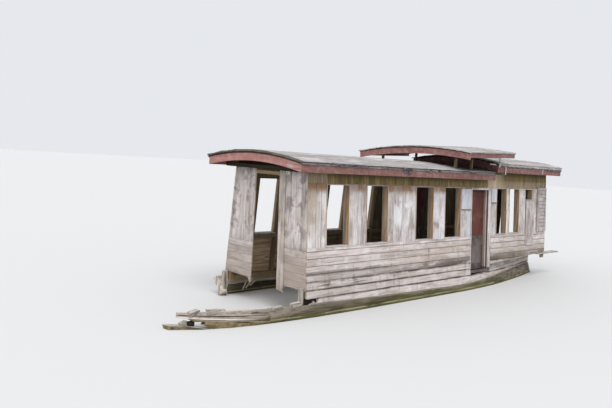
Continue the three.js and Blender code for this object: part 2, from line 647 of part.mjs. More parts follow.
function buildSideWalls() {
  for (const [name, side, openings] of [["port", 1, PORT_OPENINGS], ["starboard", -1, STARBOARD_OPENINGS]]) {
    const frame = wallFrame(side);
    const fore = openings.filter((o) => o.from < DOOR.from);
    const stern = openings.filter((o) => o.from > DOOR.from);
    const sternStuds = stern.length ? studsOf(stern) : BLIND_STUDS;
    const clear = PIER_JOINTS.filter((at) => !openings.some((o) => at > o.from - 30 && at < o.to + 30));
    const foreJoints = clear.filter((at) => at < DOOR.from);
    const sternJoints = clear.filter((at) => at > DOOR.from);
    const overDoor = { from: DOOR.from, to: STERN_BOARDS_FROM + 100, sill: SILL, head: WINDOW_HEAD };
    const brackets = shutterHinges(side).flatMap((one) => one.fixed);
    const foreEnd = STERN_BOARDS_FROM - FIT;
    const foreHoles = [...fore, overDoor];
    const foreBoards = uprightBoards(side, CABIN_START, foreEnd, foreHoles, MAIN_WALL_TOP, foreJoints);
    const sternBoards = uprightBoards(side, STERN_BOARDS_FROM, CABIN_END, stern, STERN_WALL_TOP, sternJoints);
    const forePlanks = lappedPlanks(side, CABIN_START, DOOR.from - FIT, null);
    const sternPlanks = lappedPlanks(side, STERN_BOARDS_FROM, CABIN_END, belowFoot(side));
    add(`${name}_lower_planks_fore`, forePlanks, COLOURS.lower, frame);
    add(`${name}_lower_planks_aft`, sternPlanks, COLOURS.lower, frame);
    add(`${name}_upper_boards_fore`, foreBoards, COLOURS.wall, frame);
    add(`${name}_upper_boards_aft`, joined(sternBoards, ...brackets), COLOURS.wall, frame);
    add(`${name}_sill_frame_fore`, foreSillFrame(side, fore), COLOURS.framing, frame);
    add(`${name}_sill_frame_aft`, sternSillFrame(side, sternStuds), COLOURS.framing, frame);
    add(`${name}_window_posts`, windowPosts(side, fore, stern, sternStuds), COLOURS.framing, frame);
    add(`${name}_door_frame`, doorFrame(side), COLOURS.post, frame);
    add(`${name}_side_door`, doorLeaf(side), COLOURS.door, frame);
    add(`${name}_stern_shutter`, shutter(side), COLOURS.wall, frame);
  }
}

// The boards that carry the stern walls where they stand out past the hull
function buildQuarterSoffits() {
  const drop = Math.tan(TUMBLEHOME);
  for (const [name, side] of [["port", 1], ["starboard", -1]]) {
    const ring = (ahead) => {
      const high = slopedFoot(ahead) - SOFFIT.drop;
      const low = soffitUnder(ahead);
      const outer = WALL_HALF - (high - WALL_DATUM) * drop + 8;
      const inner = Math.min(sheerHalf(ahead) - 60, outer - 140);
      return [[outer, high], [outer, low], [inner, low], [inner, high]]
        .map(([y, z]) => [FRONT + ahead, side * y, z]);
    };
    add(`${name}_quarter_soffit`, loft(stationsBetween(-CABIN_LENGTH, -STERN_BOARDS_FROM - 10).map(ring)),
      COLOURS.lower);
  }
}

// Front and aft walls. Their sides follow the lean of the side walls
const sideAt = (z) => WALL_HALF - (z - WALL_DATUM) * Math.tan(TUMBLEHOME);
const END_WALL_TOP = 2380;
const DOORWAY = {
  starboardTop: -339, starboardFoot: -319, raggedFoot: -399, portTop: 257, portFoot: 351, low: 352,
};
const AFT_DOORWAY = { foot: 300, top: 270, head: 2290 };
const FRONT_POST = { top: 398, foot: 510, proud: 14, low: 325 };
const FRONT_HEADER = { low: 2295, high: 2357 };
const CROSS_BEAM = { low: END_WALL_TOP + FIT, high: 2450, starboard: -1110, port: 1000, out: 45 };

function buildEndWalls() {
  const board = (name, points, x0 = FRONT - END_WALL, x1 = FRONT) =>
    add(name, alongX(points, x0, x1), COLOURS.wall);
  board("front_wall_starboard", [
    [-sideAt(462), 462], [DOORWAY.raggedFoot, 433], [DOORWAY.raggedFoot + 45, DOORWAY.low],
    [DOORWAY.starboardFoot, DOORWAY.low], [DOORWAY.starboardTop, END_WALL_TOP],
    [-sideAt(END_WALL_TOP), END_WALL_TOP],
  ]);
  board("front_wall_port", [
    [sideAt(424), 424], [sideAt(END_WALL_TOP), END_WALL_TOP], [FRONT_POST.top + FIT, END_WALL_TOP],
    [FRONT_POST.foot + FIT, 436],
  ]);
  add("front_door_post", alongX([
    [DOORWAY.portTop, END_WALL_TOP], [DOORWAY.portFoot, DOORWAY.low], [FRONT_POST.foot, FRONT_POST.low],
    [FRONT_POST.top, END_WALL_TOP],
  ], FRONT - END_WALL, FRONT + FRONT_POST.proud), COLOURS.post);
  const jamb = (top, foot, z) => THREE.MathUtils.mapLinear(z, END_WALL_TOP, DOORWAY.low, top, foot);
  const starboardJamb = (z) => [jamb(DOORWAY.starboardTop, DOORWAY.starboardFoot, z) + FIT, z];
  const portJamb = (z) => [jamb(DOORWAY.portTop, DOORWAY.portFoot, z) - FIT, z];
  const { low, high } = FRONT_HEADER;
  add("front_header", alongX([starboardJamb(low), portJamb(low), portJamb(high), starboardJamb(high)],
    FRONT - END_WALL, FRONT), COLOURS.post);
  const { starboard, port, out } = CROSS_BEAM;
  const beam = block(FRONT - END_WALL, FRONT + out, starboard, port, CROSS_BEAM.low, CROSS_BEAM.high);
  add("front_cross_beam", beam, COLOURS.framing);

  const foot = STERN_WALL_FOOT.far + 1;
  const portHalf = [
    [AFT_DOORWAY.top, AFT_DOORWAY.head], [AFT_DOORWAY.foot, foot], [sideAt(foot), foot],
    [sideAt(STERN_WALL_TOP), STERN_WALL_TOP],
  ];
  const starboardHalf = portHalf.slice().reverse().map(([y, z]) => [-y, z]);
  add("aft_wall", alongX([...portHalf, ...starboardHalf], AFT, AFT + END_WALL), COLOURS.wall);
}

// Roofs. A point on an arc of the given half width and rise, springing from the eave height
function arc({ half, eave, rise }, shift = 0) {
  const radius = (half ** 2 + rise ** 2) / (2 * rise);
  const reach = Math.asin(half / radius);
  return Array.from({ length: ARC_STEPS + 1 }, (_, k) => {
    const turn = reach * ((2 * k) / ARC_STEPS - 1);
    return [radius * Math.sin(turn), eave + rise - radius * (1 - Math.cos(turn)) + shift];
  });
}
const band = (roof, high, low) => [...arc(roof, high), ...arc(roof, low).reverse()];
const above = (roof, shift) => [...arc(roof, shift), [roof.half, BEYOND], [-roof.half, BEYOND]];
const below = (roof, shift) => [...arc(roof, shift), [roof.half, 0], [-roof.half, 0]];

function deckWithRibs(roof, ribs, from = roof.from) {
  const deck = alongX(band(roof, 0, -roof.deck), FRONT + roof.to, FRONT + from);
  const inside = { ...roof, half: roof.half - FASCIA_BOARD - 40 };
  const inset = (shift) => arc(roof, shift).filter(([y]) => Math.abs(y) < inside.half);
  const rib = (at) => alongX(
    [...inset(1 - roof.deck), ...inset(-roof.deck - RIB.depth).reverse()],
    FRONT + at - RIB.width, FRONT + at,
  );
  return joined(deck, ...ribs.map(rib));
}

// The boards round a roof's edge, below its deck: arched across the ends, straight along the eaves
function fasciaBoards(roof, fore, aft, archedAft) {
  const under = -roof.deck - FIT;
  const arch = (at) => alongX(band(roof, under, under - roof.fascia), FRONT + at - FASCIA_BOARD, FRONT + at);
  const eave = (side) => block(
    FRONT + aft, FRONT + fore, side * (roof.half - FASCIA_BOARD), side * (roof.half - 1),
    roof.eave + under - (roof.eaveFascia ?? roof.fascia), roof.eave + under,
  );
  const boards = [arch(fore), eave(1), eave(-1)];
  if (archedAft) boards.push(arch(aft + FASCIA_BOARD));
  return joined(...boards);
}

const MAIN_RIBS = [330, -100, -900, -1700, -2500, -3300, -4100, -4900, -5700];
const STERN_RIBS = [-6200, -6900, -7600, -8300, -8940];
const CANOPY_RIBS = [-4420, -5000, -5780];
const MAIN_EAVE_END = -5850;
const FASCIA_SETBACK = 4;
const PLATE = { inner: 96, outer: 30, height: 300 };

// Posts under the canopy, standing on the roof below. ahead, y: centre; roof: what carries it
const CANOPY_POSTS = [
  { ahead: -4442, y: 950, on: MAIN_ROOF },
  { ahead: -4442, y: -950, on: MAIN_ROOF },
  { ahead: -5022, y: 985, on: MAIN_ROOF },
  { ahead: -5802, y: -985, on: MAIN_ROOF },
];
const POST = { width: 45, low: 2300, high: 3150 };
const HANGING_STRUT = { ahead: -5942, width: 36, thick: 22, low: 2690 };

// The canopy leans about the middle of its fore edge
function tilted(geometry) {
  const pivot = [FRONT + CANOPY.from, 0, CANOPY.eave];
  const [x, y, z] = pivot;
  return geometry.translate(-x, -y, -z).rotateX(CANOPY_TILT).rotateY(CANOPY_PITCH).translate(...pivot);
}

function buildMainRoof() {
  add("main_roof", deckWithRibs(MAIN_ROOF, MAIN_RIBS), COLOURS.roof);
  const under = -MAIN_ROOF.deck - FIT;
  const low = under - MAIN_ROOF.fascia;
  const face = FRONT + MAIN_ROOF.from - FASCIA_SETBACK;
  const back = face - FASCIA_BOARD;
  add("main_front_fascia", alongX(band(MAIN_ROOF, under, low), back, face), COLOURS.maroon);
  const { half, eave } = MAIN_ROOF;
  for (const [name, side] of [["port", 1], ["starboard", -1]]) {
    const y = side * half;
    const inner = y - side * FASCIA_BOARD;
    const board = block(FRONT + MAIN_EAVE_END, back - FIT, inner, y, eave + low, eave + under);
    add(`${name}_eave_fascia`, board, COLOURS.maroon);
  }
}

function buildSternRoof() {
  add("stern_roof", deckWithRibs(STERN_ROOF, STERN_RIBS), COLOURS.roof);
  const fore = STERN_ROOF.from - FASCIA_SETBACK;
  add("stern_fascia", fasciaBoards(STERN_ROOF, fore, STERN_ROOF.to + FASCIA_SETBACK, true), COLOURS.maroon);
}

function buildWallPlates() {
  for (const [name, side] of [["port", 1], ["starboard", -1]]) {
    const lean = (geometry) => geometry.rotateX(side * TUMBLEHOME).translate(0, side * WALL_HALF, WALL_DATUM);
    const plate = (from, to, foot, roof) => {
      const inner = -side * PLATE.inner;
      const outer = -side * PLATE.outer;
      const bar = block(FRONT - from, FRONT - to, inner, outer, up(foot) + FIT, up(foot) + PLATE.height);
      const clear = alongX(above(roof, -roof.deck - RIB.depth - FIT), FRONT - to - 10, FRONT - from + 10);
      return cut(lean(bar), clear);
    };
    const main = plate(CABIN_START, STERN_BOARDS_FROM - 60, MAIN_WALL_TOP, MAIN_ROOF);
    const stern = plate(STERN_BOARDS_FROM, CABIN_END, STERN_WALL_TOP, STERN_ROOF);
    add(`${name}_main_plate`, main, COLOURS.framing);
    add(`${name}_stern_plate`, stern, COLOURS.framing);
  }
}

function buildCanopy() {
  const roof = tilted(deckWithRibs(CANOPY, CANOPY_RIBS));
  const over = (shift) => tilted(alongX(above(CANOPY, shift), FRONT + CANOPY.to, FRONT + CANOPY.from));
  const overRibs = over(-CANOPY.deck - RIB.depth / 2);
  const posts = CANOPY_POSTS.map(({ ahead, y, on }) => {
    const x = FRONT + ahead;
    const half = POST.width / 2;
    const bar = block(x - half, x + half, y - half, y + half, POST.low, POST.high);
    return cut(bar, overRibs, alongX(below(on, FIT), x - POST.width, x + POST.width));
  });
  add("canopy_roof", joined(roof, ...posts), COLOURS.roof);
  const edge = fasciaBoards(CANOPY, CANOPY.from - FASCIA_SETBACK, CANOPY.to + FASCIA_SETBACK, false);
  add("canopy_fascia", tilted(edge), COLOURS.maroon);

  const { ahead, width, thick, low } = HANGING_STRUT;
  const x = FRONT + ahead;
  const y = MAIN_ROOF.half + FIT;
  const strut = block(x - width, x, y, y + thick, low, POST.high);
  add("canopy_strut", cut(strut, over(-CANOPY.deck - FIT)), COLOURS.post);
}

// Planks left at the stern, the inner bow plank and the broken starboard bow
const STERN_DECK = { from: -8990.5, to: -9235, half: 720, thick: 25.5 };
const SIDE_PLANK = { from: -8560, to: -9720, inner: 885, outer: 1062, thick: 26 };
const KNEE = { from: -8900, to: -9010, inner: 925, outer: 985, low: 455 };

function buildSternPlanks() {
  const deck = STERN_DECK;
  const under = STERN_WALL_FOOT.far - SOFFIT.drop - SOFFIT.thick;
  const top = under + deck.thick;
  const boards = block(FRONT + deck.to, FRONT + deck.from, -deck.half, deck.half, under, top);
  add("stern_deck", boards, COLOURS.lower);

  const plank = SIDE_PLANK;
  const high = soffitUnder(plank.from) - FIT;
  const low = high - plank.thick;
  const board = block(FRONT + plank.to, FRONT + plank.from, plank.inner, plank.outer, low, high);
  const kneeTop = low + 1;
  const knee = block(FRONT + KNEE.to, FRONT + KNEE.from, KNEE.inner, KNEE.outer, KNEE.low, kneeTop);
  add("stern_side_plank", joined(board, knee), COLOURS.lower);
}

const BOW_STUB = { x0: -58, x1: 78, low: -60, high: 470, inner: -935, middle: -1011, outer: -1092 };
const STANCHION = { out: 62, inner: 925, outer: 990, low: 205, high: 470 };

function buildBow() {
  const { x0, x1, low, high, inner, middle, outer } = BOW_STUB;
  add("starboard_bow_stub", joined(
    block(FRONT + FIT, FRONT + x1, middle - 1, inner, low, high),
    block(FRONT + x0, FRONT + x1 + 60, outer, middle + 1, low + 45, high - 280),
  ), COLOURS.lower);
  const post = STANCHION;
  const stanchion = block(FRONT + FIT, FRONT + post.out, post.inner, post.outer, post.low, post.high);
  add("front_corner_stanchion", stanchion, COLOURS.post);
}

buildHull();
buildInside();
buildTransom();
buildRudder();
buildSideWalls();
buildQuarterSoffits();
buildEndWalls();
buildMainRoof();
buildSternRoof();
buildWallPlates();
buildCanopy();
buildSternPlanks();
buildBow();

export default group;
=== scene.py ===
"""Looks of a weathered wooden river cabin boat: its boards, roofs, finishes and stage."""
import math
import random

import bpy
from bpy.props import FloatProperty, FloatVectorProperty, IntProperty
from mathutils import Matrix, Vector


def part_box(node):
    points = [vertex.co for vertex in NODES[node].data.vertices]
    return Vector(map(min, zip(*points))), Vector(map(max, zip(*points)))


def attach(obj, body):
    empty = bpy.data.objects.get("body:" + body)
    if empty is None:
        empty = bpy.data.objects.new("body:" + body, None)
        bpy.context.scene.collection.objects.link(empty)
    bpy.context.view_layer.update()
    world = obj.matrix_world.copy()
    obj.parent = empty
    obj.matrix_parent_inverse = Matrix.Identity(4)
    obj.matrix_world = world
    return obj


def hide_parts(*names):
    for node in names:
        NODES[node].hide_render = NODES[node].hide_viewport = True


bl_info = {
    "name": "Weathered River Cabin Boat",
    "version": (1, 0, 0),
    "blender": (4, 5, 0),
    "location": "View3D > Sidebar > River Boat",
    "description": "Dresses a wooden river cabin boat in weathered boards, felted roofs and old paint",
    "category": "Object",
}

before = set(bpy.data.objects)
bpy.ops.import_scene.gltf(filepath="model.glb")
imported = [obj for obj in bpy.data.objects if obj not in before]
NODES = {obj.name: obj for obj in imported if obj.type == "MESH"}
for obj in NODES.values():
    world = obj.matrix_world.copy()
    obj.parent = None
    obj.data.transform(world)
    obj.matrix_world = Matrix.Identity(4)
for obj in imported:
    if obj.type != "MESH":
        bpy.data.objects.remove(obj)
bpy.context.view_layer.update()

# The cabin, in metres: its ends, its leaning side walls, their heights and the thickness of their boards
FRONT = round(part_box("front_wall_port")[1][0], 4)
AFT = round(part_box("aft_wall")[0][0], 4)
WALL_HALF = 1.016
WALL_DATUM = 0.440
TUMBLEHOME = math.radians(3.8)
SILL = 1.130
WINDOW_HEAD = 2.205
PIER_TOP = 2.213
MAIN_WALL_TOP = 2.400
STERN_WALL_TOP = 2.570
SKIN = 0.022
BASE_LAYER = 0.008
END_WALL = 0.0253
CABIN_LENGTH = 8.990
CABIN_END = CABIN_LENGTH - END_WALL
SIDES = (("port", 1), ("starboard", -1))

# The axes, as places in a vector
X, Y, Z = range(3)

# Openings in each side, as distances aft of the front wall, and where the wall behind the door starts
DOOR = (5.270, 6.010)
STERN_FROM = 6.145
WINDOWS = {
    "port": [
        (0.495, 1.100), (1.585, 2.235), (3.145, 3.775), (4.200, 4.840), (6.400, 6.890), (7.030, 7.530)],
    "starboard": [(0.495, 1.080), (1.500, 2.110), (2.480, 3.090), (3.450, 4.060)],
}
SMALL_WINDOW = (7.850, 8.235)

# Height of the small window's sill, the planks' gap to the door post, and the back of the window linings
SMALL_SILL = 1.925
CLEAR_OF_POST = 0.0003
LINING_BACK = -0.132

# Joints between the upright boards, and between the lapped planks of each level from the foot up
PIER_JOINTS = {
    "port": (0.23, 0.36, 1.33, 1.44, 2.41, 2.68, 2.92, 3.99, 4.98, 5.12, 6.96, 7.62, 7.80, 8.35),
    "starboard": (0.23, 0.36, 1.33, 2.27, 3.27, 4.25, 4.56, 4.85, 6.50, 6.86, 7.20, 7.61, 7.98, 8.34, 8.66),
}
LAP_JOINTS = ((1.9, 4.1), (2.9,), (0.95, 3.6), (3.5,), (2.15, 3.62), (3.48, 4.5), (2.6,))
STERN_JOINTS = ((7.2,), (7.9,), (7.0,), (8.1,), (7.5,), (6.9,), (7.8,))

# Lapped planks: their lower edges and how far each stands proud there, their upper edges, and how far
# these go up and back behind the plank above
LAPS = (
    (0.295, 0.026), (0.437, 0.026), (0.564, 0.015), (0.698, 0.013), (0.831, 0.013), (0.958, 0.013),
    (1.078, 0.012))
LAP_TOPS = [edge for edge, _ in LAPS[1:]] + [SILL]
TUCK = 0.004
TUCK_BACK = 0.011

# Foot of the stern walls' planks, at their two ends
FOOT_NEAR = 0.487
FOOT_FAR = 0.640

# Roofs: the felt's fore and aft ends without its overhang, and the half width, eave height and rise.
# Then the fore edge of the main roof's felt, and the canopy's tilt to one side and its pitch
ROOFS = {
    "main": {"ends": (4.030, -2.170), "half": 1.140, "eave": 2.565, "rise": 0.121},
    "stern": {"ends": (-2.320, -5.640), "half": 1.140, "eave": 2.780, "rise": 0.121},
    "canopy": {"ends": (-0.580, -2.500), "half": 1.425, "eave": 2.905, "rise": 0.115},
}
FELT_FRONT = 4.046
CANOPY_TILT = math.radians(1.8)
CANOPY_PITCH = math.radians(2.1)

# The port bow's seams and edges, each through two points (X, Z), its top and tip, and where its planks
# start and where they and the sheer plank break
UPPER_SEAM = ((4.875, 0.155), (5.790, 0.209))
LOWER_SEAM = ((4.410, 0.049), (5.810, 0.157))
TONGUE_TOP = ((5.380, 0.002), (5.800, 0.062))
BOW_EDGE = ((4.35, 0.212), (4.95, 0.240))
BOW_TOP = 0.242
BOW_TIP = 5.955
BOW_PLANKS_FROM = 4.36
BOW_GAP = 5.35
SHEER_BREAK = 3.26

# How pieces are worn: size of the hollows, the angles that are rounded or shaded as edges, and the side
# under which a loose piece is divided only once
WEAR_SIZE = 0.22
EDGE_ANGLE = math.radians(40)
SMOOTH_ANGLE = 38
SHORT_CHUNK = 0.12

# The felt's lap over the length below it, and its cells along the roof and around its arc
FELT_LAP = 0.03
FELT_CELL = 0.045
ARC_CELL = 0.05

# The stage: the camera's place, directions, sensor width and reach, then the floor and the sky
CAMERA_AT = (11.977, 8.737, 2.664)
CAMERA_RIGHT = (-0.6848, 0.7255, 0.0681)
CAMERA_AHEAD = (-0.7287, -0.6813, -0.0693)
SENSOR_WIDTH = 36
FAR_CLIP = 400
FLOOR_SIZE = 240
FLOOR_COLOUR = (0.62, 0.62, 0.61, 1)
SKY_COLOUR = (0.93, 0.95, 1.0, 1)
SKY_STRENGTH = 0.85

# Colours that more than one finish has
KNOT = (0.10, 0.08, 0.07)
DEEP_CRACK = (0.02, 0.015, 0.01)


def away(distance):
    """X of a place the given distance aft of the front wall."""
    return FRONT - distance


def up(height):
    """Distance up a leaning wall at the given height."""
    return (height - WALL_DATUM) / math.cos(TUMBLEHOME)


def lean(side):
    """The leaning frame of a side wall: Y across the boards, Z up the slope."""
    return Matrix.Translation((0, side * WALL_HALF, WALL_DATUM)) @ Matrix.Rotation(side * TUMBLEHOME, 4, "X")


def about(point, turn):
    """A turn about a point."""
    place = Matrix.Translation(point)
    return place @ turn @ place.inverted()


def length(name, description, default):
    return FloatProperty(name=name, description=description, default=default, unit="LENGTH")


def tint(name, description, default):
    return FloatVectorProperty(
        name=name, description=description, default=default, subtype="COLOR", min=0, max=1)


class BoatSettings(bpy.types.PropertyGroup):
    """Sizes and colours of the boat's finish."""

    board_gap: length("Board gap", "Gap between two upright boards", 0.006)
    board_wear: length("Board wear", "How far a board's faces wander", 0.004)
    felt_thickness: length("Felt thickness", "Thickness of the roof's felt", 0.008)
    felt_strips: IntProperty(
        name="Felt strips", description="Lengths of felt laid side by side on a roof",
        default=7, min=3, max=14)
    bare_wood: tint("Bare wood", "Colour of the bleached boards", (0.575, 0.53, 0.515))
    grey_wood: tint("Grey wood", "Colour of the grain in bleached boards", (0.315, 0.272, 0.248))
    stain: tint("Stain", "Colour of damp stains on bare boards", (0.20, 0.16, 0.135))
    tan_wood: tint("Sheltered wood", "Colour of boards kept dry under the eaves", (0.30, 0.215, 0.115))
    maroon: tint("Maroon paint", "Colour of the old paint on the roof's edge boards", (0.345, 0.155, 0.135))
    felt: tint("Roof felt", "Colour of the faded felt", (0.465, 0.435, 0.42))
    algae: tint("Algae", "Colour of the growth near the waterline", (0.085, 0.078, 0.028))
    lens: FloatProperty(name="Lens", description="Focal length of the camera, in mm", default=41.18)
    key_light: FloatProperty(
        name="Key light", description="Strength of the overcast sky's light", default=1.0)


def settings():
    return bpy.context.scene.boat


class Signal:
    """A shader socket that takes part in sums."""

    def __init__(self, finish, socket):
        self.finish = finish
        self.socket = socket

    def math(self, operation, first, second=None):
        inputs = {0: first} if second is None else {0: first, 1: second}
        return self.finish.out("ShaderNodeMath", {"operation": operation}, inputs)

    def __add__(self, other):
        return self.math("ADD", self, other)

    __radd__ = __add__

    def __sub__(self, other):
        return self.math("SUBTRACT", self, other)

    def __rsub__(self, other):
        return self.math("SUBTRACT", other, self)

    def __mul__(self, other):
        return self.math("MULTIPLY", self, other)

    __rmul__ = __mul__

    def size(self):
        return self.math("ABSOLUTE", self)

    def step(self, low, high):
        """0 below low and 1 above high, smooth between; high may be the smaller one."""
        return self.finish.out("ShaderNodeMapRange", {"interpolation_type": "SMOOTHSTEP"},
                               {"Value": self, "From Min": low, "From Max": high})

    def band(self, middle, width):
        """1 at the middle value, falling to 0 at the given distance from it."""
        return 1 - (self - middle).size().step(width * 0.4, width)


def rgb(colour, factor=1.0):
    """A colour of three channels as a shader takes it, times a factor; a socket stays as it is."""
    if isinstance(colour, Signal):
        return colour
    return tuple(min(1.0, channel * factor) for channel in colour[:3]) + (1.0,)


class Finish:
    """A material and its nodes."""

    def __init__(self, name):
        self.material = bpy.data.materials.new(name)
        self.material.use_nodes = True
        self.nodes = self.material.node_tree.nodes
        self.links = self.material.node_tree.links
        self.shader = self.nodes["Principled BSDF"]
        self.place = self.out("ShaderNodeTexCoord", {}, {}, "Object")
        self.x, self.y, self.z = self.parts(self.place)
        # A number of its own for each loose board of a piece
        self.board = self.out("ShaderNodeNewGeometry", {}, {}, "Random Per Island")

    def plug(self, socket, value):
        if isinstance(value, Signal):
            self.links.new(value.socket, socket)
        else:
            socket.default_value = value

    def node(self, kind, options, inputs):
        made = self.nodes.new(kind)
        for name, value in options.items():
            setattr(made, name, value)
        for key, value in inputs.items():
            self.plug(made.inputs[key], value)
        return made

    def out(self, kind, options, inputs, output=0):
        return Signal(self, self.node(kind, options, inputs).outputs[output])

    def parts(self, vector):
        """The three numbers of a vector."""
        return [self.out("ShaderNodeSeparateXYZ", {}, {0: vector}, k) for k in range(3)]

    def facing(self, name):
        """How squarely a face looks along an axis, to either side."""
        normal = self.out("ShaderNodeNewGeometry", {}, {}, "Normal")
        return self.parts(normal)["XYZ".index(name)].size()

    def out_of_wall(self):
        """Distance out of the leaning side walls' outer face."""
        return self.y.size() + (self.z - WALL_DATUM) * math.tan(TUMBLEHOME) - WALL_HALF

    def vector(self, operation, first, second):
        return self.out("ShaderNodeVectorMath", {"operation": operation}, {0: first, 1: second})

    def noise(self, where, scale, detail, roughness, distortion=0.0, stretch=None):
        if stretch:
            where = self.vector("MULTIPLY", where, stretch)
        return self.out("ShaderNodeTexNoise", {}, {
            "Vector": where, "Scale": scale, "Detail": detail, "Roughness": roughness,
            "Distortion": distortion})

    def mix(self, factor, first, second):
        """The first colour where the factor is 0, the second where it is 1."""
        return self.out("ShaderNodeMix", {"data_type": "RGBA"}, {0: factor, 6: rgb(first), 7: rgb(second)}, 2)

    def over(self, colour, *layers):
        """A colour with others laid over it in turn, each given by its mask and its colour."""
        for mask, layer in layers:
            colour = self.mix(mask, colour, layer)
        return colour

    def shade(self, colour, amount):
        """The colour times a number."""
        return self.out("ShaderNodeVectorMath", {"operation": "SCALE"}, {0: colour, "Scale": amount})

    def finish(self, colour, roughness, height, depth):
        bump = self.out("ShaderNodeBump", {}, {"Height": height, "Distance": depth, "Strength": 0.9})
        looks = {"Base Color": colour, "Roughness": roughness, "Normal": bump, "Specular IOR Level": 0.25}
        for key, value in looks.items():
            self.plug(self.shader.inputs[key], value)
        return self.material


class Timber(Finish):
    """A finish with the marks that all weathered boards share: grain, fibres, cracks, stains and patches."""

    def __init__(self, name, along):
        super().__init__(name)
        shift = self.board * 37.0
        offset = self.out("ShaderNodeCombineXYZ", {}, {0: shift, 1: shift * 0.7, 2: shift})
        start = self.vector("ADD", self.place, offset)

        def pattern(lengthwise, across, *more):
            scales = tuple(lengthwise if axis == along else across for axis in "XYZ")
            return self.noise(start, 1.0, *more, stretch=scales)

        self.grain = pattern(1.5, 25, 5.0, 0.66, 0.7)
        self.fibre = pattern(6, 150, 2.0, 0.6)
        self.blotch = pattern(1.3, 5.0, 5.0, 0.62, 0.8)
        self.patch = self.noise(start, 2.4, 4.0, 0.55, 0.4)
        self.spots = self.noise(start, 11.0, 3.0, 0.6)
        self.cracks = pattern(0.9, 27, 2.0, 0.5).step(0.33, 0.28)

    def ready(self, colour, roughness=None, depth=0.004):
        """The material, with its grain, fibres and cracks in relief."""
        if roughness is None:
            roughness = 0.82 + self.grain * 0.12
        relief = self.grain * 0.6 + self.fibre * 0.25 - self.cracks * 0.9
        return self.finish(colour, roughness, relief, depth)

    def grained(self, low, high, dark, pale, light=1.0):
        """A dark and a pale colour along the grain."""
        return self.mix(self.grain.step(low, high), rgb(dark, light), rgb(pale, light))

    def bleached(self, light=1.0, stain=1.0):
        """Wood bleached grey by the sun, with paler patches, stains, knots and cracks."""
        colour = self.over(
            self.grained(0.30, 0.60, settings().grey_wood, settings().bare_wood, light),
            (self.patch.step(0.50, 0.66) * 0.5, rgb((0.75, 0.73, 0.73), light)),
            (self.blotch.step(0.48, 0.72) * 0.62 * stain, rgb(settings().stain, light)),
            (self.patch.step(0.44, 0.32) * 0.5 * stain, rgb(settings().stain, 1.3 * light)),
            (self.spots.step(0.64, 0.72) * 0.55 * stain, KNOT),
            (self.cracks * 0.7, KNOT))
        return self.shade(colour, 0.80 + self.board * 0.26 + self.fibre * 0.14)

    def sheltered(self, light=1.0):
        """Warm timber that sun and rain reach less."""
        colour = self.over(
            self.grained(0.30, 0.68, (0.115, 0.08, 0.045), settings().tan_wood, light),
            (self.board * 0.4, rgb((0.25, 0.19, 0.12), light)),
            (self.blotch.step(0.52, 0.75) * 0.5, rgb((0.07, 0.05, 0.03), light)),
            (self.cracks * 0.6, (0.04, 0.03, 0.02)))
        return self.shade(colour, 0.88 + self.fibre * 0.24)

    def lined(self, colour, outward):
        """Brown, unbleached wood wherever a face looks into the cabin, with painted shade that darkens it
        further aft; outward falls below 0 there.
        """
        brown = self.grained(0.3, 0.7, (0.15, 0.108, 0.066), (0.42, 0.315, 0.205))
        # Painted shade: the inner brown grows darker aft
        return self.mix(
            outward.step(-0.011, -0.015), colour, self.shade(brown, 0.55 + self.x.step(0.2, 2.4)))


def pier_boards(name):
    """Upright wall boards: bleached, with rusty damp tops under the eave and brown inner faces."""
    wood = Timber(name, "Z")
    x, z, patch = wood.x, wood.z, wood.patch
    ochre = x.step(3.24, 3.34) * z.step(1.2, 2.1)
    white = x.band(0.84, 0.40) * z.band(1.70, 0.36) * patch.step(0.42, 0.54)
    pale = x.band(-0.39, 0.36) * patch.step(0.34, 0.50)
    rusty = (z + wood.spots * 0.12).step(2.08, 2.21) * (x.step(-3.0, -1.6) * 0.65 + 0.35)
    colour = wood.over(
        wood.bleached(),
        (ochre * 0.55, (0.37, 0.285, 0.18)),
        (white * 0.75, (0.76, 0.77, 0.79)),
        (pale * 0.45, (0.74, 0.73, 0.76)),
        (x.band(2.26, 0.36) * 0.22, (0.34, 0.29, 0.265)),
        (rusty * (0.35 + patch.step(0.36, 0.54) * 0.6), (0.27, 0.16, 0.085)))
    return wood.ready(wood.lined(colour, wood.out_of_wall()))


def bare_boards(name, along, light=1.0, stain=1.0, warm=0.0):
    """Loose bleached boards."""
    wood = Timber(name, along)
    return wood.ready(wood.mix(warm, wood.bleached(light, stain), rgb(settings().tan_wood, 1.5 * light)))


def end_wall_boards(name, along):
    """Boards of the end walls: bleached outside, brown inside, darker at the foot."""
    wood = Timber(name, along)
    x, z = wood.x, wood.z
    foot = (z + wood.patch * 0.25).step(1.26, 1.02)
    smudge = wood.noise(wood.place, 6.5, 2.0, 0.5, 0.3).step(0.54, 0.65) * z.step(0.95, 1.45)
    colour = wood.over(
        wood.bleached(0.96, 1.3),
        (0.16, (0.42, 0.34, 0.28)),
        (foot * (0.55 + wood.y.step(0.2, 0.4) * 0.22), rgb(settings().stain, 1.55)),
        (smudge * 0.6, (0.16, 0.14, 0.14)))
    return wood.ready(wood.lined(colour, x.math("MAXIMUM", x - FRONT, AFT - x)))


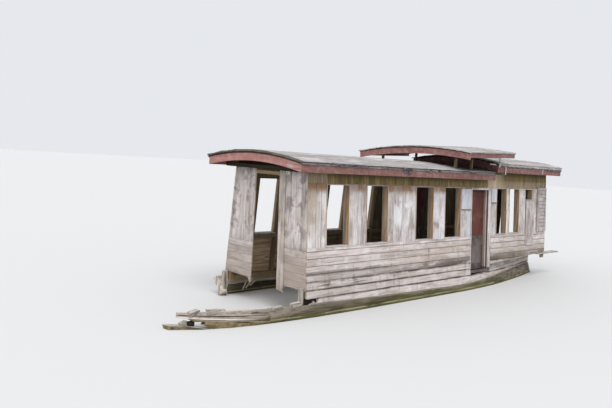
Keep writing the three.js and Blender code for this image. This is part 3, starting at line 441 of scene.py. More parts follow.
def lapped_boards(name, lined=True):
    """Lapped planks: bare wood with dirt and painted shade under each lap, and a damp band that spreads aft.
    """
    wood = Timber(name, "X")
    x, z, grain, patch, blotch = wood.x, wood.z, wood.grain, wood.patch, wood.blotch
    aft = x.step(2.6, -1.2)
    rusty = aft * x.step(-2.3, -1.9) * z.band(0.86, 0.20) * patch.step(0.46, 0.60) * grain.step(0.38, 0.55)
    damp = z.step(0.555, 0.568) * z.step(0.80, 0.60) * blotch.step(0.32, 0.50) * (0.12 + aft * 0.88)
    seep = x.step(0.9, 1.7) * z.band(0.705, 0.05) * blotch.step(0.30, 0.46)
    low = z.band(0.53, 0.10) * patch.step(0.50, 0.60) * grain.step(0.62, 0.42)
    dull = x.step(-2.4, -3.4) * z.step(1.0, 0.7) * patch.step(0.36, 0.56)
    streaks = wood.noise(wood.place, 1.0, 3.0, 0.6, stretch=(10.0, 10.0, 0.9)).step(0.58, 0.70)
    colour = wood.over(
        wood.bleached(1.0, 0.9),
        (0.20, (0.54, 0.42, 0.36)),
        (rusty * 0.75, (0.42, 0.27, 0.16)),
        (damp * 0.92, (0.088, 0.066, 0.052)),
        (seep * 0.6, (0.075, 0.058, 0.046)),
        (low * (0.45 + x.band(2.6, 0.8) * 0.45), (0.06, 0.045, 0.035)),
        (dull * 0.5, (0.27, 0.225, 0.165)),
        (streaks * wood.spots.step(0.35, 0.55) * 0.5, (0.17, 0.12, 0.085)))
    # Dirt and painted shade under each lap: a dark line, wider and stronger under the planks that stand
    # further proud
    dirt_and_shade = 0.25 + blotch.step(0.34, 0.58) * 0.75
    for edge, proud in LAPS:
        width, strength = (0.024, 0.9) if proud > 0.014 else (0.014, 0.45)
        colour = wood.mix(z.band(edge - 0.003, width) * dirt_and_shade * strength, colour, (0.045, 0.035, 0.028))
    return wood.ready(wood.lined(colour, wood.out_of_wall()) if lined else colour)


def sheltered_boards(name, along, light=1.0):
    """Brown beams, studs and inner boards."""
    wood = Timber(name, along)
    return wood.ready(wood.sheltered(light), 0.85, 0.003)


def canopy_deck(name):
    """The canopy's deck and ribs, darkened nearly black by painted shade, and the paler posts under them."""
    wood = Timber(name, "Z")
    posts = wood.z.step(2.815, 2.795)
    # Painted shade: the deck and ribs above the posts take a far darker copy of the sheltered timber
    return wood.ready(wood.mix(posts, wood.sheltered(0.2), wood.sheltered(0.85)), 0.85, 0.003)


def frieze_boards(name):
    """Boards under the eaves: ochre, darkened throughout by painted eave shade, with painted light at the
    foot and painted shade, nearly black, at the top.
    """
    wood = Timber(name, "Z")
    x, z = wood.x, wood.z
    rise = z - x.step(-2.35, -2.55) * 0.16
    stern = x.step(-2.35, -2.45) * x.step(-3.3, -2.75)
    fore = wood.over(
        wood.grained(0.3, 0.7, (0.24, 0.175, 0.11), (0.46, 0.36, 0.25)),
        # Painted eave shade at the top of the fore boards
        (z.step(2.28, 2.44) * 0.8, (0.15, 0.105, 0.055)))
    colour = wood.over(
        wood.grained(0.30, 0.68, (0.14, 0.095, 0.035), (0.34, 0.25, 0.115)),
        (wood.blotch.step(0.50, 0.75) * 0.5, (0.09, 0.06, 0.028)),
        # Painted light at the foot, and painted eave shade, nearly black, at the top
        (rise.step(2.24, 2.19) * 0.4, (0.48, 0.40, 0.31)),
        (rise.step(2.26, 2.40) * 0.75, (0.07, 0.045, 0.015)),
        (stern * 0.85, (0.66, 0.52, 0.36)),
        (x.step(3.06, 3.14) * 0.9, fore))
    # The whole frieze darkened by painted eave shade, with tone by board and fibre
    colour = wood.shade(colour, 0.62 + wood.board * 0.25 + wood.fibre * 0.2)
    return wood.ready(wood.lined(colour, wood.out_of_wall() + BASE_LAYER), 0.88, 0.003)


def jamb_boards(name, depth=1.0):
    """Window jambs: grey brown deep inside, rusty towards the face, bleached on their edges; a depth under 1
    darkens the grey brown as painted shade.
    """
    wood = Timber(name, "Z")
    out = wood.out_of_wall() + (wood.patch - 0.5) * 0.02
    edge = wood.facing("X").step(0.7, 0.4) * out.step(-0.02, -0.01)
    colour = wood.over(
        wood.grained(0.3, 0.7, (0.17, 0.13, 0.09), (0.36, 0.285, 0.21), depth),
        (out.step(-0.066, -0.056), wood.grained(0.3, 0.7, (0.21, 0.125, 0.065), (0.49, 0.325, 0.19))),
        (edge * 0.85, wood.bleached(0.95, 0.7)))
    return wood.ready(colour, 0.85, 0.003)


def door_surround(name):
    """Side door frames: bleached faces, and reveals with a tan board, a pale edge and a rebate darkened by
    painted shade; painted shade also darkens their foot.
    """
    wood = Timber(name, "Z")
    out = wood.out_of_wall()
    reveal = wood.over(
        wood.grained(0.3, 0.7, (0.20, 0.15, 0.11), (0.42, 0.34, 0.29)),
        # Painted shade in the rebate
        (out.step(-0.045, -0.038), (0.12, 0.085, 0.065)),
        (out.band(-0.050, 0.014), (0.68, 0.58, 0.555)))
    colour = wood.over(
        wood.bleached(0.92, 1.1),
        (out.step(-0.02, -0.04), (0.10, 0.075, 0.06)),
        (wood.facing("X").step(0.4, 0.7), reveal),
        # Painted shade at the foot, over the threshold
        (wood.z.step(0.44, 0.40) * 0.85, (0.05, 0.035, 0.03)))
    return wood.ready(colour, 0.84)


def old_paint(name, along, paint, bare_from=0.60, light=1.0, dust=0.35):
    """Dusty old paint, worn through to the wood in streaks."""
    wood = Timber(name, along)
    rubbed = wood.blotch.step(bare_from, bare_from + 0.12) * wood.grain.step(0.42, 0.60)
    colour = wood.over(
        wood.grained(0.25, 0.75, rgb(paint, 0.74 * light), rgb(paint, 1.12 * light)),
        (wood.spots.step(0.42, 0.70) * dust, rgb((0.46, 0.36, 0.33), light)),
        (wood.blotch.step(0.48, 0.30) * 0.35, rgb(paint, 0.5 * light)),
        (rubbed * 0.7, rgb(settings().bare_wood, 0.75 * light)),
        (wood.cracks * 0.6, (0.06, 0.03, 0.025)))
    return wood.ready(colour, 0.7 + wood.spots * 0.2, 0.002)


def roof_felt(name, light=1.0, shade_line_over=None):
    """Faded felt, patched and streaked along the roof, with dark grit in it; painted shadow of the canopy,
    painted shade along the fore edge, and a painted shade line over a given height.
    """
    felt = Finish(name)
    x = felt.x
    offset = felt.out("ShaderNodeCombineXYZ", {}, {0: felt.board * 19.0, 1: felt.board * 7.0})
    place = felt.vector("ADD", felt.place, offset)
    wide = felt.noise(place, 1.6, 6.0, 0.65, 0.6, (0.8, 3.4, 3.4))
    streak = felt.noise(place, 1.0, 6.0, 0.72, 1.2, (1.8, 15, 15))
    grit = felt.noise(felt.place, 180.0, 2.0, 0.7)
    pits = felt.noise(place, 20.0, 5.0, 0.68, 0.5)
    # Painted shadow of the canopy on the main roof's felt beneath it
    canopy_shadow = x.step(-0.75, -1.15) * x.step(-2.62, -2.50) * felt.z.step(2.84, 2.80)
    colour = felt.over(
        rgb((0.36, 0.335, 0.325), light),
        (wide.step(0.40, 0.62), rgb(settings().felt, light)),
        (wide.step(0.56, 0.72) * 0.6, rgb((0.72, 0.70, 0.71), light)),
        (streak.step(0.50, 0.62) * 0.75, rgb((0.17, 0.145, 0.13), light)),
        (pits.step(0.58, 0.68) * 0.6, rgb((0.09, 0.078, 0.07), light)),
        (canopy_shadow * felt.y.size().step(1.09, 0.98) * 0.9, (0.055, 0.042, 0.034)),
        # Painted shade along the felt's fore edge
        (x.step(FELT_FRONT - 0.05, FELT_FRONT - 0.015) * 0.85, (0.075, 0.062, 0.044)))
    # Painted shade: near black over the given height, the line under the felt's overhanging edge
    if shade_line_over:
        above = felt.z.step(shade_line_over - 0.004, shade_line_over + 0.004)
        colour = felt.mix(above, colour, (0.04, 0.034, 0.03))
    colour = felt.shade(colour, 0.78 + felt.board * 0.2 + grit * 0.28)
    return felt.finish(colour, 0.92, grit * 0.3 + pits + streak * 0.6, 0.008)


def tar_strip(name):
    """Torn bituminised strip: near black, blue-grey where it catches dust."""
    tar = Finish(name)
    fold = tar.noise(tar.place, 1.0, 5.0, 0.65, 0.8, (9, 34, 34))
    dust = tar.noise(tar.place, 50.0, 3.0, 0.6)
    colour = tar.over(
        (0.022, 0.020, 0.021),
        (fold.step(0.40, 0.58), (0.145, 0.135, 0.145)),
        (fold.step(0.56, 0.68) * 0.7, (0.28, 0.275, 0.30)),
        (dust.step(0.52, 0.75) * 0.45, (0.26, 0.21, 0.18)))
    return tar.finish(colour, 0.75 + dust * 0.15, fold + dust * 0.3, 0.006)


def hull_wood(wood):
    """Grey brown timber above the water, olive towards it, with a pale rubbed line at the water."""
    x, grain, blotch, patch = wood.x, wood.grain, wood.blotch, wood.patch
    z = wood.z + (blotch - 0.5) * 0.08
    moss = x.step(2.4, 0.9) * x.step(-3.4, -2.0) * patch.step(0.36, 0.52)
    fore = x.step(2.8, 4.3) * z.step(0.05, 0.12) * grain.step(0.30, 0.50)
    dry = wood.over(
        wood.grained(0.34, 0.60, (0.035, 0.028, 0.016), (0.115, 0.095, 0.056)),
        (blotch.step(0.46, 0.66) * 0.6, (0.030, 0.024, 0.012)),
        (patch.step(0.54, 0.68) * 0.3, (0.20, 0.16, 0.11)),
        (moss * 0.7, (0.080, 0.082, 0.022)),
        (x.step(-2.2, -4.4) * grain.step(0.35, 0.6) * 0.7, (0.30, 0.255, 0.205)),
        (fore * 0.75, (0.32, 0.27, 0.215)),
        (wood.facing("Z").step(0.5, 0.8) * 0.6, (0.33, 0.285, 0.235)))
    rubbed = wood.grained(0.3, 0.6, (0.16, 0.135, 0.062), (0.36, 0.325, 0.19))
    colour = wood.over(
        wood.grained(0.35, 0.65, rgb(settings().algae, 0.5), rgb(settings().algae, 1.5)),
        (z.step(0.025, 0.115), dry),
        (wood.z.band(0.044, 0.016) * blotch.step(0.36, 0.5) * 0.8, rubbed),
        (z.step(-0.03, -0.10), (0.075, 0.07, 0.035)),
        (wood.cracks * 0.7, (0.02, 0.016, 0.012)))
    return wood.shade(colour, 0.84)


def wet_planks(name):
    """The hull's outer planks amidships and aft, and everything under water."""
    wood = Timber(name, "X")
    return wood.ready(wood.shade(hull_wood(wood), 0.85 + wood.fibre * 0.3), 0.62 + wood.grain * 0.25, 0.006)


def over_seam(wood, a, b):
    """Height over the seam that passes through two points (X, Z)."""
    slope = (b[1] - a[1]) / (b[0] - a[0])
    return wood.z - (wood.x * slope + (a[1] - a[0] * slope))


def bow_planks(name):
    """The eroded bow: grey upper planks with painted highlights on their lips, a brown lower one, duller and
    wetter further aft, with painted shade in the upper seam and in the hollow under the lower lip.
    """
    wood = Timber(name, "X")
    x = wood.x
    upper = over_seam(wood, *UPPER_SEAM)
    lower = over_seam(wood, *LOWER_SEAM)
    brown = wood.over(
        wood.grained(0.32, 0.62, (0.075, 0.055, 0.027), (0.225, 0.17, 0.09)),
        (wood.blotch.step(0.52, 0.62) * 0.8, (0.028, 0.02, 0.012)))
    # Painted highlights along the planks' lips
    lip_highlights = (lower.band(0.016, 0.018) + upper.band(0.010, 0.010) * 0.5) * x.step(4.40, 4.95)
    # Painted shade in the upper seam, and in the hollow under the lower lip
    seam = upper.band(-0.003, 0.011) * x.step(4.66, 4.86)
    hollow_shade = lower.band(-0.020, 0.017) * x.band(4.87, 0.20) * wood.spots.step(0.40, 0.50)
    colour = wood.over(
        wood.grained(0.32, 0.60, (0.17, 0.135, 0.11), (0.37, 0.315, 0.265)),
        (wood.blotch.step(0.50, 0.70) * 0.5, (0.11, 0.085, 0.062)),
        (lower.step(0.004, -0.008), brown),
        (lip_highlights * wood.patch.step(0.34, 0.46), (0.60, 0.53, 0.47)),
        (wood.facing("Z").step(0.5, 0.8) * 0.6, (0.60, 0.55, 0.50)),
        (x.step(4.95, 4.25), hull_wood(wood)),
        (seam * 0.8 + hollow_shade * 0.9, (0.03, 0.022, 0.015)),
        (wood.z.step(0.03, -0.02) * 0.7, (0.06, 0.05, 0.02)),
        (wood.cracks * 0.7, DEEP_CRACK))
    return wood.ready(wood.shade(colour, 0.86 + wood.fibre * 0.28), 0.82, 0.006)


def drift_wood(name, along="X", grey=1.0):
    """Broken, eroded timber: deep grain, pale ridges and dark hollows, paler on top."""
    wood = Timber(name, along)
    colour = wood.over(
        wood.grained(0.34, 0.60, (0.15, 0.12, 0.095), (0.44, 0.395, 0.345), grey),
        (wood.blotch.step(0.47, 0.68) * 0.7, (0.075, 0.058, 0.042)),
        (wood.patch.step(0.52, 0.66) * 0.4, rgb((0.58, 0.54, 0.50), grey)),
        (wood.facing("Z").step(0.6, 0.9) * 0.35, rgb((0.66, 0.62, 0.57), grey)),
        (wood.z.step(0.085, 0.02) * 0.65, hull_wood(wood)),
        (wood.cracks * 0.85, DEEP_CRACK))
    return wood.ready(wood.shade(colour, 0.84 + wood.fibre * 0.3), 0.85, 0.008)


def door_paint(name):
    """The side doors: maroon above the sill line, dark grey below it."""
    wood = Timber(name, "Z")
    line = (wood.z + (wood.blotch - 0.5) * 0.02).step(SILL - 0.012, SILL + 0.004)
    above = wood.over(
        wood.grained(0.3, 0.7, (0.085, 0.027, 0.021), (0.135, 0.046, 0.037)),
        (wood.patch.step(0.5, 0.68) * 0.35, (0.22, 0.10, 0.08)))
    under = wood.mix(wood.blotch.step(0.35, 0.65), (0.062, 0.048, 0.045), (0.155, 0.125, 0.122))
    colour = wood.over(under, (line, above), (wood.cracks * 0.6, (0.03, 0.02, 0.018)))
    return wood.ready(colour, 0.7 + wood.grain * 0.15, 0.002)


def deep_shade(name):
    """Painted shade: a near-black finish for blocks set where hollows lie in shadow, where no grain shows."""
    dark = Finish(name)
    mottle = dark.noise(dark.place, 9.0, 4.0, 0.6)
    return dark.finish(dark.shade((0.022, 0.016, 0.012), 0.7 + mottle * 0.6), 0.9, mottle, 0.002)


FINISHES = {
    "pier_boards": pier_boards,
    "shutter": lambda name: bare_boards(name, "Z", light=0.78),
    "panel": lambda name: bare_boards(name, "Z", light=0.84, stain=1.2),
    "quarter": lambda name: bare_boards(name, "X", light=0.72, stain=1.3, warm=0.12),
    "bow": bow_planks,
    "sill_boards": lambda name: bare_boards(name, "X"),
    "deck_boards": lambda name: bare_boards(name, "Y", light=0.86, stain=1.2),
    "upright_boards": lambda name: end_wall_boards(name, "Z"),
    "level_boards": lambda name: end_wall_boards(name, "Y"),
    "lapped": lapped_boards,
    "sheer": lambda name: lapped_boards(name, lined=False),
    "frieze": frieze_boards,
    "jamb": jamb_boards,
    # Painted shade: the far side's jambs, seen across the cabin, in a darker copy
    "far_jamb": lambda name: jamb_boards(name, depth=0.35),
    "surround": door_surround,
    "post": lambda name: bare_boards(name, "Z", light=0.92, stain=1.5, warm=0.24),
    "header": lambda name: sheltered_boards(name, "Y", light=1.15),
    "rail": lambda name: sheltered_boards(name, "X", light=1.15),
    # Painted shade: the cross beam and the roof decks take dark copies of the sheltered timber, for the shade
    # under the eaves and roofs
    "beam": lambda name: sheltered_boards(name, "Y", light=0.15),
    "roof_deck": lambda name: sheltered_boards(name, "Y", light=0.22),
    "canopy_deck": canopy_deck,
    "slat": lambda name: old_paint(name, "Z", (0.46, 0.41, 0.27), bare_from=0.7, dust=0.2),
    "maroon_canopy": lambda name: old_paint(name, "Y", settings().maroon, light=0.82, dust=0.45),
    "inside": lambda name: sheltered_boards(name, "X", light=0.95),
    "stud": lambda name: sheltered_boards(name, "Z"),
    "maroon_length": lambda name: old_paint(name, "X", settings().maroon, light=0.66, dust=0.5),
    "maroon_across": lambda name: old_paint(name, "Y", settings().maroon, light=1.05),
    "pale_paint": lambda name: old_paint(name, "Z", (0.56, 0.565, 0.60), bare_from=0.7, dust=0.1),
    "felt": roof_felt,
    # The eave drape: a darker copy of the felt, with a painted shade line along its top
    "felt_edge": lambda name: roof_felt(name, light=0.55, shade_line_over=2.547),
    "tar": tar_strip,
    "wet": wet_planks,
    "drift": drift_wood,
    "drift_upright": lambda name: drift_wood(name, "Z", 1.05),
    "drift_pale": lambda name: drift_wood(name, "Z", 1.5),
    "door": door_paint,
    "shade": deep_shade,
}
MADE = {}
CLOUDS = {}


def give(piece, finish):
    """Make a finish the only one of a piece."""
    if finish not in MADE:
        MADE[finish] = FINISHES[finish](finish)
    piece.data.materials.clear()
    piece.data.materials.append(MADE[finish])


def mode(name):
    bpy.ops.object.mode_set(mode=name)


def deselect():
    """Leave edit mode with nothing selected."""
    if bpy.context.object and bpy.context.object.mode != "OBJECT":
        mode("OBJECT")
    bpy.ops.object.select_all(action="DESELECT")


def only(piece):
    deselect()
    piece.select_set(True)
    bpy.context.view_layer.objects.active = piece


def apply_place():
    bpy.ops.object.transform_apply(location=True, rotation=True, scale=True)


def pick(piece, kind, test):
    """Enter edit mode with the vertices, edges or faces that pass a test of their vertices' places."""
    mode("OBJECT")
    mesh = piece.data
    bpy.context.tool_settings.mesh_select_mode = tuple(kind == each for each in ("VERT", "EDGE", "FACE"))
    for group in (mesh.vertices, mesh.edges, mesh.polygons):
        group.foreach_set("select", [False] * len(group))
    places = [vertex.co for vertex in mesh.vertices]
    if kind == "VERT":
        for vertex in mesh.vertices:
            vertex.select = test(vertex.co)
    else:
        for item in mesh.edges if kind == "EDGE" else mesh.polygons:
            item.select = test([places[k] for k in item.vertices])
    mode("EDIT")


def jitter(piece, test, amount, seed):
    """Shift the vertices that pass the test, each its own way."""
    pick(piece, "VERT", test)
    bpy.ops.transform.vertex_random(offset=amount, uniform=0.0, normal=0.0, seed=seed)
    mode("OBJECT")


def modify(piece, kind, **values):
    """Add a modifier with the given settings."""
    modifier = piece.modifiers.new(kind.title(), kind)
    for name, value in values.items():
        setattr(modifier, name, value)


def wander(piece, strength, size, pattern="fine", direction="NORMAL"):
    """Displace a piece by a cloud pattern of the given size."""
    key = (pattern, size)
    if key not in CLOUDS:
        CLOUDS[key] = bpy.data.textures.new(f"wander_{pattern}_{size}", "CLOUDS")
        CLOUDS[key].noise_scale = size
        CLOUDS[key].noise_depth = 2
    modify(piece, "DISPLACE", texture=CLOUDS[key], texture_coords="LOCAL", direction=direction,
           strength=strength, mid_level=0.5)


def smooth(piece, angle=SMOOTH_ANGLE):
    """Apply a piece's modifiers and shade it smooth up to an angle, in degrees."""
    only(piece)
    for modifier in list(piece.modifiers):
        bpy.ops.object.modifier_apply(modifier=modifier.name)
    bpy.ops.object.shade_smooth_by_angle(angle=math.radians(angle))
    return piece


def settle(piece, place):
    """Put a piece made in another frame into the boat's frame, with its place in its mesh."""
    only(piece)
    piece.matrix_world = place
    apply_place()


def hand_over(piece, finish, nodes=(), body="hull"):
    """Give a piece its finish, its body and the CAD nodes it stands for."""
    give(piece, finish)
    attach(piece, body)
    if nodes:
        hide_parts(*nodes)


def blocks(name, boxes):
    """One mesh of separate square-edged blocks, each given by its two corners."""
    deselect()
    piece = None
    for low, high in boxes:
        middle = [(a + b) / 2 for a, b in zip(low, high)]
        size = [abs(b - a) for a, b in zip(low, high)]
        bpy.ops.mesh.primitive_cube_add(size=1, location=middle, scale=size)
        if piece is None:
            piece = bpy.context.object
            piece.name = name
            apply_place()
            mode("EDIT")
    mode("OBJECT")
    return piece


def merged(parts, name):
    """Several pieces as one."""
    deselect()
    for part in parts:
        part.select_set(True)
    bpy.context.view_layer.objects.active = parts[0]
    if len(parts) > 1:
        bpy.ops.object.join()
    parts[0].name = name
    return parts[0]


def divide(piece, axis, cuts, longer=0.0, test=lambda middle: True):
    """Cut every edge that lies along an axis into equal lengths."""
    def along(ends):
        run = ends[1] - ends[0]
        return abs(run[axis]) > max(longer, 0.9 * run.length) and test((ends[0] + ends[1]) / 2)

    pick(piece, "EDGE", along)
    bpy.ops.mesh.subdivide(number_cuts=cuts)
    mode("OBJECT")


def worn(piece, edge=0.003, wear=0.0, angle=SMOOTH_ANGLE):
    """Rounded edges, and faces that wander a little."""
    modify(piece, "BEVEL", width=edge, segments=1, limit_method="ANGLE", angle_limit=EDGE_ANGLE)
    if wear:
        wander(piece, wear, WEAR_SIZE)
    return smooth(piece, angle)


def weathered(piece, axis, cuts, edge=0.003, wear=None):
    """Boards cut into lengths along an axis and then worn."""
    divide(piece, axis, cuts, longer=0.15)
    return worn(piece, edge, settings().board_wear if wear is None else wear)


def nailed(piece, side, finish, axis, cuts, edge=0.003, wear=None, nodes=()):
    """Wear boards that were made upright, lean them with a side wall and hand them over."""
    settle(weathered(piece, axis, cuts, edge, wear), lean(side))
    hand_over(piece, finish, nodes)


def copied(node, name):
    """A copy of a CAD node's shape, with its flat faces whole."""
    deselect()
    piece = bpy.data.objects.new(name, NODES[node].data.copy())
    bpy.context.scene.collection.objects.link(piece)
    only(piece)
    mode("EDIT")
    bpy.ops.mesh.select_all(action="SELECT")
    bpy.ops.mesh.remove_doubles(threshold=0.00005)
    bpy.ops.mesh.dissolve_limited(angle_limit=math.radians(1))
    mode("OBJECT")
    return piece


def dressed(node, name, finish, axis=X, cuts=0, edge=0.004, wear=0.0, body="hull"):
    """A CAD node's shape with worn edges and a finish, in its place."""
    piece = copied(node, name)
    if cuts:
        divide(piece, axis, cuts, longer=0.3)
    hand_over(worn(piece, edge, wear), finish, (node,), body)


def keeping(piece, planes):
    """Cut a piece off at planes, each a point and the direction of the side that stays."""
    for point, inward in planes:
        pick(piece, "FACE", lambda places: True)
        bpy.ops.mesh.bisect(
            plane_co=point, plane_no=Vector(inward).normalized(), use_fill=True, clear_inner=True)
        mode("OBJECT")
    return piece


def carved(node, name, cells):
    """Loose boards cut out of a CAD node's shape; each cell is a list of planes."""
    return merged([keeping(copied(node, name), planes) for planes in cells], name)


def at_plane(axis, value, sign):
    """The plane across an axis at a value; sign 1 keeps what lies beyond it, and -1 what lies before."""
    point, inward = [0.0, 0.0, 0.0], [0.0, 0.0, 0.0]
    point[axis] = value
    inward[axis] = sign
    return point, inward


def cells_between(axis, marks, gaps):
    """Cells between marks along an axis, each drawn in by a gap at its two ends."""
    return [
        [at_plane(axis, a + gaps[0], 1.0), at_plane(axis, b - gaps[1], -1.0)]
        for a, b in zip(marks, marks[1:])]


def under_line(a, b, gap=0.0):
    """The plane across the boat through two points (X, Z), aft and fore, keeping what lies below it."""
    (ax, az), (bx, bz) = a, b
    return (ax, 0.0, az - gap), (bz - az, 0.0, ax - bx)


def over_line(a, b, gap=0.0):
    """The same plane, keeping what lies above."""
    point, inward = under_line(a, b, -gap)
    return point, tuple(-part for part in inward)


def chunks(name, seed, rows):
    """Broken pieces of wood as one, each from two corners, its tilt across the boat and its roughness."""
    parts = []
    for k, (low, high, tilt, rough) in enumerate(rows):
        piece = blocks(name, [(low, high)])
        sizes = [abs(b - a) for a, b in zip(low, high)]
        for axis in range(3):
            divide(piece, axis, 1 if sizes[axis] < SHORT_CHUNK else 3)
        jitter(piece, lambda co: True, min(sizes) * rough, seed + k)
        middle = Vector([(a + b) / 2 for a, b in zip(low, high)])
        settle(piece, about(middle, Matrix.Rotation(tilt, 4, "Y")))
        parts.append(piece)
    return merged(parts, name)


def runs(openings, joints, start, end, shortest=0.03):
    """Lengths between openings, split at the joints, each drawn in by half a gap."""
    half_gap = settings().board_gap / 2
    result = []
    at = start
    for low, high in sorted(openings) + [(end, end)]:
        marks = [at] + [j for j in joints if at + shortest < j < low - shortest] + [low]
        result += [(a + half_gap, b - half_gap) for a, b in zip(marks, marks[1:]) if b - a > shortest]
        at = high
    return result


def wall_box(side, run, out, heights):
    """A board on a side wall: its run aft of the front wall, its two faces and its heights."""
    near, far = sorted(side * face for face in out)
    return (away(run[1]), near, up(heights[0])), (away(run[0]), far, up(heights[1]))


class BOAT_OT_upper_boards(bpy.types.Operator):
    """Nail the upright boards between the windows and the short frieze boards above them"""

    bl_idname = "boat.upper_boards"
    bl_label = "Upper boards"

    def execute(self, context):
        chance = random.Random(11)
        for name, side in SIDES:
            windows = WINDOWS[name]
            small = [SMALL_WINDOW] if name == "port" else []
            openings = windows[:4] + [(DOOR[0] - 0.004, STERN_FROM)] + windows[4:] + small
            boxes = []
            for run in runs(openings, PIER_JOINTS[name], END_WALL, CABIN_END):
                out = chance.uniform(-0.0015, 0.003)
                foot = SILL + 0.002 + chance.uniform(-0.004, 0.003)
                top = PIER_TOP + chance.uniform(-0.003, 0.003)
                boxes.append(wall_box(side, run, (out - SKIN, out), (foot, top)))
            if small:
                run = (SMALL_WINDOW[0] - 0.003, SMALL_WINDOW[1] + 0.003)
                boxes.append(wall_box(side, run, (-SKIN, 0.0), (SILL + 0.002, SMALL_SILL)))
            nodes = (f"{name}_upper_boards_fore", f"{name}_upper_boards_aft")
            piers = blocks(f"{name}_pier_boards", boxes)
            nailed(piers, side, "pier_boards", Z, 9, nodes=nodes)

            frieze = []
            at = END_WALL
            while at < CABIN_END - 0.05:
                end = min(at + chance.uniform(0.11, 0.17), CABIN_END)
                top = MAIN_WALL_TOP if at < STERN_FROM else STERN_WALL_TOP
                out = chance.uniform(-0.002, 0.003) - BASE_LAYER
                foot = WINDOW_HEAD + chance.uniform(-0.006, 0.004)
                frieze.append(wall_box(side, (at + 0.002, end - 0.002), (-SKIN, out), (foot, top)))
                at = end
            boards = blocks(f"{name}_frieze_boards", frieze)
            nailed(boards, side, "frieze", Z, 2, 0.002, 0.002)
            self.patches(name, side)
        return {"FINISHED"}

    def patches(self, name, side):
        """Whitened boards nailed over the piers beside the door, and brown battens under two of them that
        stand in for the shadow line beneath each board.
        """
        pale = blocks(f"{name}_whitened_boards", [
            wall_box(side, (4.846, 5.250), (0.004, 0.016), (1.738, 2.175)),
            wall_box(side, (5.075, 5.250), (0.002, 0.007), (1.180, 1.690)),
            wall_box(side, (6.160, 6.385), (0.004, 0.016), (1.882, 2.200)),
        ])
        nailed(pale, side, "pale_paint", Z, 4, 0.002, 0.003)
        # Painted shade: brown battens where the shadow line under each whitened board falls
        battens = blocks(f"{name}_shade_line_battens", [
            wall_box(side, (4.850, 5.235), (0.003, 0.020), (1.718, 1.735)),
            wall_box(side, (6.150, 6.370), (0.003, 0.018), (1.862, 1.879)),
        ])
        nailed(battens, side, "stud", X, 3, 0.002, 0.002)


class BOAT_OT_lower_planks(bpy.types.Operator):
    """Hang the lapped planks of the cabin's lower sides"""

    bl_idname = "boat.lower_planks"
    bl_label = "Lapped planks"

    def execute(self, context):
        chance = random.Random(23)
        for name, side in SIDES:
            for part, start, end, joints in (
                ("fore", END_WALL, DOOR[0] - CLEAR_OF_POST, LAP_JOINTS),
                ("aft", STERN_FROM, CABIN_END, STERN_JOINTS),
            ):
                boxes = []
                for (edge, proud), top, cuts in zip(LAPS, LAP_TOPS, joints):
                    if part == "aft" and top < FOOT_NEAR:
                        continue
                    marks = [start] + [c for c in cuts if start < c < end] + [end]
                    for a, b in zip(marks, marks[1:]):
                        out = proud + chance.uniform(-0.002, 0.0)
                        boxes.append(wall_box(side, (a + 0.001, b - 0.001), (-SKIN, out), (edge, top + TUCK)))
                planks = blocks(f"{name}_lapped_planks_{part}", boxes)
                self.tuck(planks, side)
                if part == "aft":
                    self.trim(planks)
                nodes = (f"{name}_lower_planks_{part}",)
                nailed(planks, side, "lapped", X, 26, 0.003, 0.005, nodes)
            panel = wall_box(side, (7.860, 8.285), (0.010, 0.030), (0.826, 1.915))
            nailed(blocks(f"{name}_stern_panel", [panel]), side, "panel", Z, 9)
        return {"FINISHED"}

    def tuck(self, planks, side):
        """Draw each plank's upper edge in behind the plank above."""
        levels = {round(up(top + TUCK), 4) for top in LAP_TOPS}
        pick(planks, "VERT", lambda co: side * co.y > 0 and round(co.z, 4) in levels)
        bpy.ops.transform.translate(value=(0, -side * TUCK_BACK, 0))
        mode("OBJECT")

    def trim(self, planks):
        """Cut the planks off along the stern walls' rising foot."""
        low = Vector((away(STERN_FROM), 0, up(FOOT_NEAR)))
        rise = Vector((away(CABIN_LENGTH), 0, up(FOOT_FAR))) - low
        keeping(planks, [(low, (rise.z, 0, -rise.x))])


class BOAT_OT_windows(bpy.types.Operator):
    """Line the windows with jambs, heads and sills"""

    bl_idname = "boat.windows"
    bl_label = "Window linings"

    thick: length("Lining", "Thickness of the lining boards", 0.015)

    def execute(self, context):
        thick = self.thick
        for name, side in SIDES:
            jambs = []
            sills = []
            small = [(SMALL_WINDOW, SMALL_SILL)] if name == "port" else []
            for (a, b), sill in [(window, SILL) for window in WINDOWS[name]] + small:
                low = sill + 0.004
                for run in ((a, a + thick), (b - thick, b)):
                    jambs.append(wall_box(side, run, (LINING_BACK, 0.004), (low, WINDOW_HEAD)))
                head = (WINDOW_HEAD - thick, WINDOW_HEAD)
                jambs.append(wall_box(side, (a + thick, b - thick), (LINING_BACK, 0.002), head))
                ledge = (LINING_BACK + 0.01, 0.014)
                sills.append(wall_box(side, (a - 0.01, b + 0.01), ledge, (sill, low + 0.016)))
            finish = "jamb" if side > 0 else "far_jamb"
            linings = blocks(f"{name}_window_jambs", jambs)
            nailed(linings, side, finish, Z, 4, 0.002, 0.002)
            ledges = blocks(f"{name}_window_sills", sills)
            nailed(ledges, side, "sill_boards", X, 4, 0.003, 0.003)
        return {"FINISHED"}


class BOAT_OT_doors(bpy.types.Operator):
    """Dress the side doors, their frames and the stern shutters"""

    bl_idname = "boat.doors"
    bl_label = "Doors and shutters"

    def execute(self, context):
        for name, _ in SIDES:
            door = f"{name}_side_door"
            surround = f"{name}_door_surround"
            shutter = f"{name}_stern_shutter"
            dressed(door, f"{name}_door_leaf", "door", edge=0.003, body=door)
            dressed(f"{name}_door_frame", surround, "surround", Z, 6, wear=0.003)
            dressed(shutter, f"{name}_louvred_shutter", "shutter", edge=0.0015, body=shutter)
        return {"FINISHED"}


